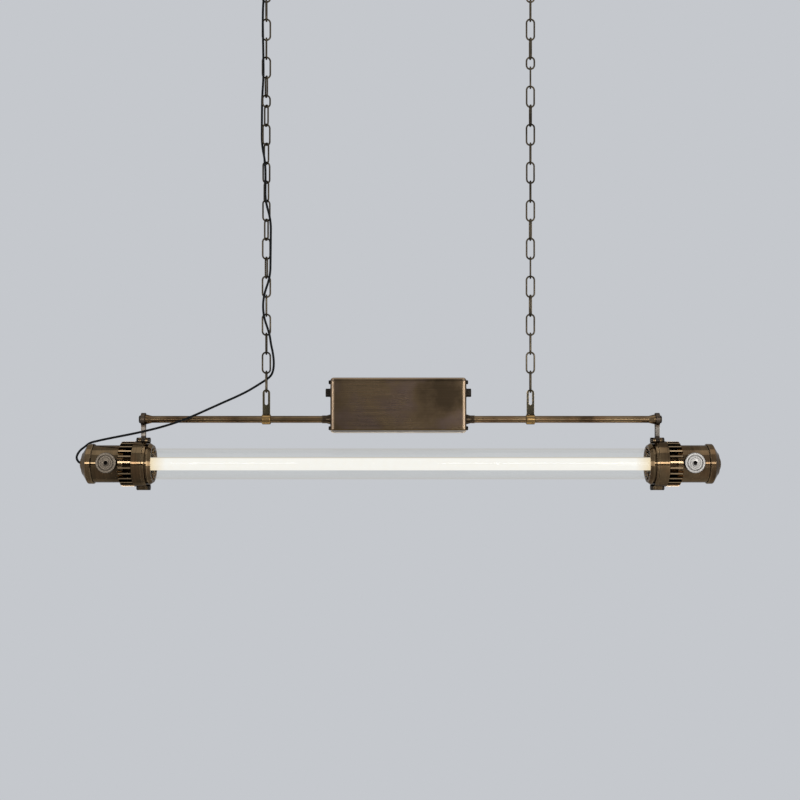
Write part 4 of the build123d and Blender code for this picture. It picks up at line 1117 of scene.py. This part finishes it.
@dataclass
class GearFrame:
    """The gear box, the rods, the brackets, the bolts and what is inside the box and the heads."""

    kit: Kit
    foot_height: float = 5.2 * MM
    line_height: float = 2.0 * MM
    head_height: float = 2.0 * MM
    # Painted reflection along the box's lower edge: a pale foot.
    foot_reflection: Colour = linear(226, 219, 210)
    foot_reflection_strength: float = 0.42
    head_wear: float = 0.4
    # Cream worn along the top edge, and painted highlights as cream bands down the box's rounded ends.
    cream_wear_and_highlight: Colour = linear(226, 196, 164)
    edge_from: float = 3.0 * MM
    edge_width: float = 3.2 * MM
    end_highlight_strength: float = 0.31
    edge_soft: float = 1.6 * MM
    # Painted highlight: the golden line above the box's pale foot.
    line_highlight: Colour = linear(96, 76, 46)
    # Painted highlight: the gold band round each bracket's rod.
    band_highlight: Colour = linear(150, 120, 76)
    band_highlight_reach: float = 8.0 * MM

    def build(self) -> None:
        """Dress the frame's nodes."""
        kit = self.kit
        self._box()
        kit.dress(["left_rod", "right_rod"], "brass_drawn", 0.3 * MM)
        self._brackets()
        kit.dress(["rod_sockets"], "brass_dark", 0.4 * MM)
        kit.dress(["box_blanking_plugs"], "black_steel", 0.4 * MM)
        kit.dress(["box_end_screws", "bracket_grub_screws", "driver_screws"], "black_steel", 0.2 * MM)
        kit.dress(["pivot_bolts"], "black_steel", 0.5 * MM, 3)
        kit.dress(["led_driver", "driver_tray"], "driver_case", 0.6 * MM)
        kit.dress(["box_terminal_block"], "white_plastic", 0.5 * MM)
        kit.dress(["clamp_bolts", "clamp_nuts"], "black_steel", 0.5 * MM, 3)
        kit.dress(["lampholder_screws"], "black_steel", 0.2 * MM)
        kit.dress(["end_cap_seals", "cable_gland"], "seal_rubber", 0.3 * MM)
        kit.dress(["head_terminal_block"], "white_plastic", 0.4 * MM)

    def _brackets(self) -> None:
        """Dress the chain brackets: dark plates, the right one darker as painted shade, with a golden band
        round the rod as a painted highlight.
        """
        rod = middle_of("left_rod")[2]
        # Painted highlight: a lighter gold band round the rod.
        band = LevelBand(self.band_highlight, rod - self.band_highlight_reach, rod + self.band_highlight_reach, 0.85)
        for side, tones in PLATE_LIT_AND_SHADED_TONES.items():
            name = f"{side.word}_brass_plate"
            finish = AgedMetal(name, *tones, Grain.UPRIGHT, 0.2, edge=0.7 * MM, bands=(band,))
            self.kit.dress([f"{side.word}_chain_bracket"], self.kit.finishes.make(finish), 0.5 * MM, 3)

    def _box(self) -> None:
        """Dress the gear box: its pale lower edge is a painted reflection, the golden line above it and the
        cream bands down its ends are painted highlights, and its top edge is worn.
        """
        kit = self.kit
        low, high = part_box("box_shell")
        # Painted reflection: a pale band along the lower edge; painted highlight: a golden line above it.
        foot_top = low[2] + self.foot_height
        foot = LevelBand(self.foot_reflection, low[2] - self.foot_height, foot_top, self.foot_reflection_strength, 0.6 * MM)
        line = LevelBand(self.line_highlight, foot_top, foot_top + self.line_height, 0.8, 0.5 * MM)
        top, reach = high[2], self.head_height
        head = LevelBand(self.cream_wear_and_highlight, top - reach, top + reach, self.head_wear, 1.0 * MM)
        # Painted highlights: cream bands down the box's rounded ends.
        left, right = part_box("left_box_end")[0][0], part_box("right_box_end")[1][0]
        near, far = self.edge_from, self.edge_from + self.edge_width
        edge = {"strength": self.end_highlight_strength, "soft": self.edge_soft, "along_x": True}
        worn = LevelBand(self.cream_wear_and_highlight, left + near, left + far, **edge)
        right_end_highlight = LevelBand(self.cream_wear_and_highlight, right - far, right - near, **edge)
        finish = AgedMetal(
            "brass_sheet",
            linear(54, 44, 32),
            linear(92, 76, 57),
            kit.finishes.brass_bare,
            Grain.ALONG,
            rough=0.3,
            blotch=9.0,
            edge=0.8 * MM,
            wear=0.3,
            crevice_shade=0.4,
            streaks=0.12,
            flush=linear(82, 68, 62),
            bands=(head, worn, right_end_highlight, line, foot),
        )
        sheet = kit.finishes.make(finish)
        kit.dress(["box_shell"], sheet, 0.25 * MM)
        kit.dress(["left_box_end", "right_box_end"], sheet, 0.3 * MM)


@dataclass
class CeilingAndChains:
    """The ceiling fittings and the two chains."""

    kit: Kit

    def build(self) -> None:
        """Dress the ceiling's and the chains' nodes."""
        kit = self.kit
        for side in Side:
            word = side.word
            kit.dress([f"{word}_canopy"], "brass_turned", 0.3 * MM)
            kit.dress([f"{word}_ceiling_strap"], "black_steel", 0.5 * MM)
            kit.dress([f"{word}_ceiling_hook"], "chain_bronze", 0.3 * MM)
            kit.dress([f"{word}_top_link", f"{word}_chain_links", f"{word}_bottom_link"], "chain_bronze", 0.0)
        kit.dress(["canopy_nuts", "cable_grip"], "black_steel", 0.5 * MM)
        kit.dress(["supply_terminal_block"], "white_plastic", 0.5 * MM)


@dataclass(frozen=True)
class CableSpan:
    """A stretch of the cable between two of its points, and the bodies that it joins."""

    name: str
    first: float
    last: float
    start_body: str
    end_body: str


@dataclass
class PowerCable:
    """The black cable from the canopy down the left chain, through its lowest link and to the end cap."""

    kit: Kit
    radius: float = 2.25 * MM
    chain_x: float = -264.0 * MM
    sides: int = 14
    steps: int = 10
    drop: tuple[Point, ...] = (
        (10.0, -24.0, 1034.0),
        (10.0, -24.0, 1010.0),
        (8.2, -21.8, 985.5),
        (2.5, -17.0, 957.0),
        (-5.2, -9.6, 925.0),
        (-6.6, -6.8, 887.0),
        (-5.9, -7.2, 849.0),
        (-5.2, -7.8, 811.0),
        (-4.6, -8.6, 773.0),
        (-8.8, 3.6, 736.0),
        (-9.0, 2.4, 715.0),
        (-9.3, 1.8, 677.0),
        (-9.4, 1.0, 639.0),
        (-1.0, -9.4, 601.0),
        (-0.6, -9.3, 563.0),
        (-1.4, -9.4, 525.0),
        (9.3, -1.6, 487.0),
        (9.0, -2.6, 449.0),
        (8.7, -3.4, 411.0),
        (8.2, -4.6, 373.0),
        (-5.4, -7.8, 335.0),
        (-6.0, -7.3, 297.0),
        (7.0, -6.4, 260.0),
        (9.6, -5.6, 239.5),
        (13.4, -4.6, 222.5),
        (15.4, -4.0, 205.0),
        (14.6, -3.2, 188.0),
        (9.0, -2.0, 174.5),
    )
    lead: tuple[Point, ...] = (
        (-7.0, -0.4, 164.0),
        (-20.0, -2.2, 155.6),
        (-36.0, -4.6, 145.8),
        (-56.0, -7.4, 135.6),
        (-83.0, -10.4, 123.6),
        (-109.0, -12.8, 111.8),
        (-134.0, -14.4, 100.4),
        (-157.0, -15.0, 90.6),
        (-184.0, -15.2, 80.8),
        (-214.0, -15.2, 72.0),
        (-241.0, -14.6, 65.6),
        (-266.0, -12.6, 60.2),
        (-291.0, -9.0, 55.4),
        (-312.0, -4.6, 51.4),
        (-328.0, 1.0, 48.2),
        (-341.0, 8.4, 45.2),
        (-351.5, 17.0, 43.2),
        (-361.0, 22.4, 40.0),
        (-369.2, 22.0, 33.0),
        (-376.4, 18.4, 27.4),
        (-381.4, 12.4, 18.8),
        (-381.8, 6.2, 10.8),
        (-376.4, 1.6, 3.7),
        (-368.8, 0.0, 0.0),
        (-360.4, 0.0, 0.0),
    )
    spans: tuple[CableSpan, ...] = (
        CableSpan("cable_at_canopy", 0.0, 3.0, "ceiling", "left_top_link"),
        CableSpan("cable_at_top_link", 3.0, 5.0, "left_top_link", "left_chain"),
        CableSpan("cable_on_chain", 5.0, 23.0, "left_chain", "left_chain"),
        CableSpan("cable_at_lowest_link", 23.0, 26.0, "left_chain", "left_bottom_link"),
        CableSpan("cable_through_link", 26.0, 31.0, "left_bottom_link", "frame"),
        CableSpan("cable_over_rod", 31.0, 38.0, "frame", "frame"),
        CableSpan("cable_at_head", 38.0, 52.0, "frame", "lamp_unit"),
    )

    def build(self) -> None:
        """Make the cable's stretches along one smooth line."""
        line = self._line()
        count = len(self.drop) + len(self.lead) - 1
        per_point = (len(line) - 1) / count
        rings = self._rings(line)
        for span in self.spans:
            first, last = round(span.first * per_point), round(span.last * per_point)
            self._stretch(span, rings[first : last + 1])

    def _line(self) -> list[Vector]:
        """The points of the smooth line that the route's points steer.

        Returns:
            The line's points, from the canopy to the end cap.
        """
        axis = middle_of("glass_tube")[2]
        curve = bpy.data.curves.new("cable_line", "CURVE")
        curve.dimensions = "3D"
        curve.resolution_u = self.steps
        spline = curve.splines.new("NURBS")
        route = self.drop + self.lead
        spline.points.add(len(route) - 1)
        for point, (x, y, z) in zip(spline.points, route):
            point.co = (self.chain_x + x * MM, y * MM, axis + z * MM, 1.0)
        spline.order_u = 3
        spline.use_endpoint_u = True
        holder = bpy.data.objects.new("cable_line", curve)
        bpy.context.collection.objects.link(holder)
        mesh = bpy.data.meshes.new_from_object(holder)
        points = [vertex.co.copy() for vertex in mesh.vertices]
        bpy.data.objects.remove(holder)
        bpy.data.curves.remove(curve)
        bpy.data.meshes.remove(mesh)
        return points

    def _rings(self, line: list[Vector]) -> list[list[Vector]]:
        """A ring of points round each point of the line, carried along it without twist.

        Args:
            line: The line's points.

        Returns:
            One ring for each point.
        """
        rings = []
        across = Vector((1.0, 0.0, 0.0))
        for index, point in enumerate(line):
            before, after = line[max(index - 1, 0)], line[min(index + 1, len(line) - 1)]
            along = (after - before).normalized()
            across = (across - along * across.dot(along)).normalized()
            other = along.cross(across)
            ring = []
            for step in range(self.sides):
                angle = 2 * math.pi * step / self.sides
                ring.append(point + (across * math.cos(angle) + other * math.sin(angle)) * self.radius)
            rings.append(ring)
        return rings

    def _stretch(self, span: CableSpan, rings: list[list[Vector]]) -> None:
        """Args:
            span: The stretch and its bodies.
            rings: Its rings.
        """
        shape = bmesh.new()
        loops = [[shape.verts.new(corner) for corner in ring] for ring in rings]
        for first, second in zip(loops, loops[1:]):
            for step in range(self.sides):
                after = (step + 1) % self.sides
                shape.faces.new((first[step], first[after], second[after], second[step]))
        shape.faces.new(list(reversed(loops[0])))
        shape.faces.new(loops[-1])
        bmesh.ops.recalc_face_normals(shape, faces=shape.faces)
        piece = self.kit.shaper.add(span.name, shape)
        self.kit.shaper.smooth(piece)
        self.kit.finishes.put(piece, "cable_sheath")
        if span.start_body == span.end_body:
            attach(piece, span.start_body)
        else:
            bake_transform(piece)
        node = "power_cable_drop" if span.last < len(self.drop) - 1 else "power_cable_lead"
        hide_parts(node)


@dataclass
class Studio:
    """The camera, the lights and the pale surroundings."""

    backdrop: Colour = linear(197, 200, 205)
    fill: float = 0.9
    distance: float = 2.4
    lens: float = 54.0
    eye_x: float = 3.2 * MM
    eye_rise: float = 127.7 * MM
    floor_drop: float = 2.1
    floor_radius: float = 4.1
    floor_sides: int = 96
    floor_share: float = 0.76
    strip_y: float = -2.45
    strip_rise: float = 0.34
    strip_height: float = 0.34
    card_y: float = -2.46
    card_top: float = 0.16
    card_foot: float = 0.14
    card_black: float = 0.004
    low_card_width: float = 1.8
    low_card_y: float = 0.4
    low_card_drop: float = 1.3

    def build(self) -> None:
        """Set up the view, the surroundings and the lights."""
        axis = middle_of("glass_tube")[2]
        self._camera(axis)
        self._surroundings()
        self._floor(axis)
        middle = (0.0, 0.0, axis)
        self._light("ceiling_softbox", (0.0, -0.5, axis + 2.2), middle, (2.6, 1.4), 9.0)
        for name, x, power in (("left_softbox", -1.75, 3.4), ("right_softbox", 1.75, 9.4)):
            self._light(name, (x, -1.75, axis + 0.15), middle, (0.9, 1.0), power)
        height, foot = axis + self.strip_rise, axis - self.card_foot
        for name, x, width, power in (("left", -1.35, 1.1, 9.5), ("right", 1.15, 1.7, 14.0)):
            size = (width, self.strip_height)
            self._light(f"{name}_strip", (x, self.strip_y, height), (x, 0.0, height), size, power)
            top = (x, self.card_y, axis + self.card_top)
            self._card(f"{name}_card", top, (x, self.card_y, foot), width, self.card_black)
        for name, x, grey in (("left_low_card", -0.9, 0.52), ("right_low_card", 0.9, 0.8)):
            far = (x, self.low_card_y, axis - self.low_card_drop)
            self._card(name, (x, self.card_y, foot), far, self.low_card_width, grey)
        bpy.context.scene.view_settings.view_transform = "Standard"

    def _camera(self, axis: float) -> None:
        """Put the camera level in front of the light.

        Args:
            axis: The height of the glass tube's axis.
        """
        data = bpy.data.cameras.new("camera")
        data.lens = self.lens
        data.sensor_width = 36.0
        data.clip_end = 60.0
        camera = bpy.data.objects.new("camera", data)
        camera.location = (self.eye_x, -self.distance, axis + self.eye_rise)
        camera.rotation_euler = (math.pi / 2, 0.0, 0.0)
        bpy.context.collection.objects.link(camera)
        bpy.context.scene.camera = camera

    def _surroundings(self) -> None:
        """Fill the background with the pale backdrop, and light the object from all round."""
        world = bpy.data.worlds.new("studio")
        bpy.context.scene.world = world
        world.use_nodes = True
        tree = NodeTree(world.node_tree)
        fill = tree.add("ShaderNodeBackground", {"Color": self.backdrop, "Strength": self.fill})
        shown = tree.add("ShaderNodeBackground", {"Color": self.backdrop})
        shaders = {1: fill.outputs["Background"], 2: shown.outputs["Background"]}
        mix = tree.add("ShaderNodeMixShader", {"Fac": tree.seen(), **shaders})
        tree.add("ShaderNodeOutputWorld", {"Surface": mix.outputs["Shader"]})

    def _floor(self, axis: float) -> None:
        """A plain pale floor far below the light.

        Args:
            axis: The height of the glass tube's axis.
        """
        shape = bmesh.new()
        bmesh.ops.create_circle(shape, cap_ends=True, segments=self.floor_sides, radius=self.floor_radius)
        floor = Shaper.add("floor", shape)
        floor.location = (0.0, 0.0, axis - self.floor_drop)
        tree = ShaderTree("floor_grey")
        speck = tree.spread(tree.noise(6.0, 3.0), *NOISE_RANGE)
        tree.set(
            Base_Color=tree.mix(speck, linear(122, 121, 117), linear(126, 125, 121)),
            Roughness=0.8,
            Specular_IOR_Level=0.1,
            Emission_Color=self.backdrop,
            Emission_Strength=tree.math("MULTIPLY", tree.seen(), self.floor_share),
        )
        floor.data.materials.append(tree.material)

    @staticmethod
    def _card(name: str, top: Point, bottom: Point, width: float, grey: float) -> None:
        """Hold a card in front of the light, out of the camera's sight, for polished metal to show.

        Args:
            name: The card's name.
            top: The middle of its upper edge.
            bottom: The middle of its lower edge.
            width: Its width along X.
            grey: How light it is, from 0 to 1.
        """
        shape = bmesh.new()
        corners = []
        for (x, y, z), signs in ((bottom, (-1, 1)), (top, (1, -1))):
            corners += [shape.verts.new((x + sign * width / 2, y, z)) for sign in signs]
        shape.faces.new(corners)
        card = Shaper.add(name, shape)
        card.visible_camera = False
        card.visible_diffuse = False
        card.visible_shadow = False
        tree = ShaderTree(f"{name}_grey")
        tree.set(Base_Color=(grey, grey, grey), Roughness=1.0, Specular_IOR_Level=0.0)
        card.data.materials.append(tree.material)

    @staticmethod
    def _light(name: str, place: Point, target: Point, size: tuple[float, float], power: float) -> None:
        """Add a soft rectangular light.

        Args:
            name: The light's name.
            place: Where it stands.
            target: What it points at.
            size: Its width and height.
            power: Its power in watts.
        """
        data = bpy.data.lights.new(name, "AREA")
        data.shape = "RECTANGLE"
        data.size, data.size_y = size
        data.energy = power
        light = bpy.data.objects.new(name, data)
        light.visible_camera = False
        light.location = place
        light.rotation_euler = (Vector(target) - Vector(place)).to_track_quat("-Z", "Y").to_euler()
        bpy.context.collection.objects.link(light)


def main() -> None:
    """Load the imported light, dress it and set up the studio."""
    logging.basicConfig(level=logging.INFO, format="%(name)s: %(message)s")
    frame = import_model()
    finishes = Finishes()
    finishes.build()
    kit = Kit(frame, finishes, Shaper())
    CeilingAndChains(kit).build()
    GearFrame(kit).build()
    for side in Side:
        Head(kit, side).build()
    GlassAndLamp(kit).build()
    PowerCable(kit).build()
    Studio().build()


if __name__ == "__main__":
    main()
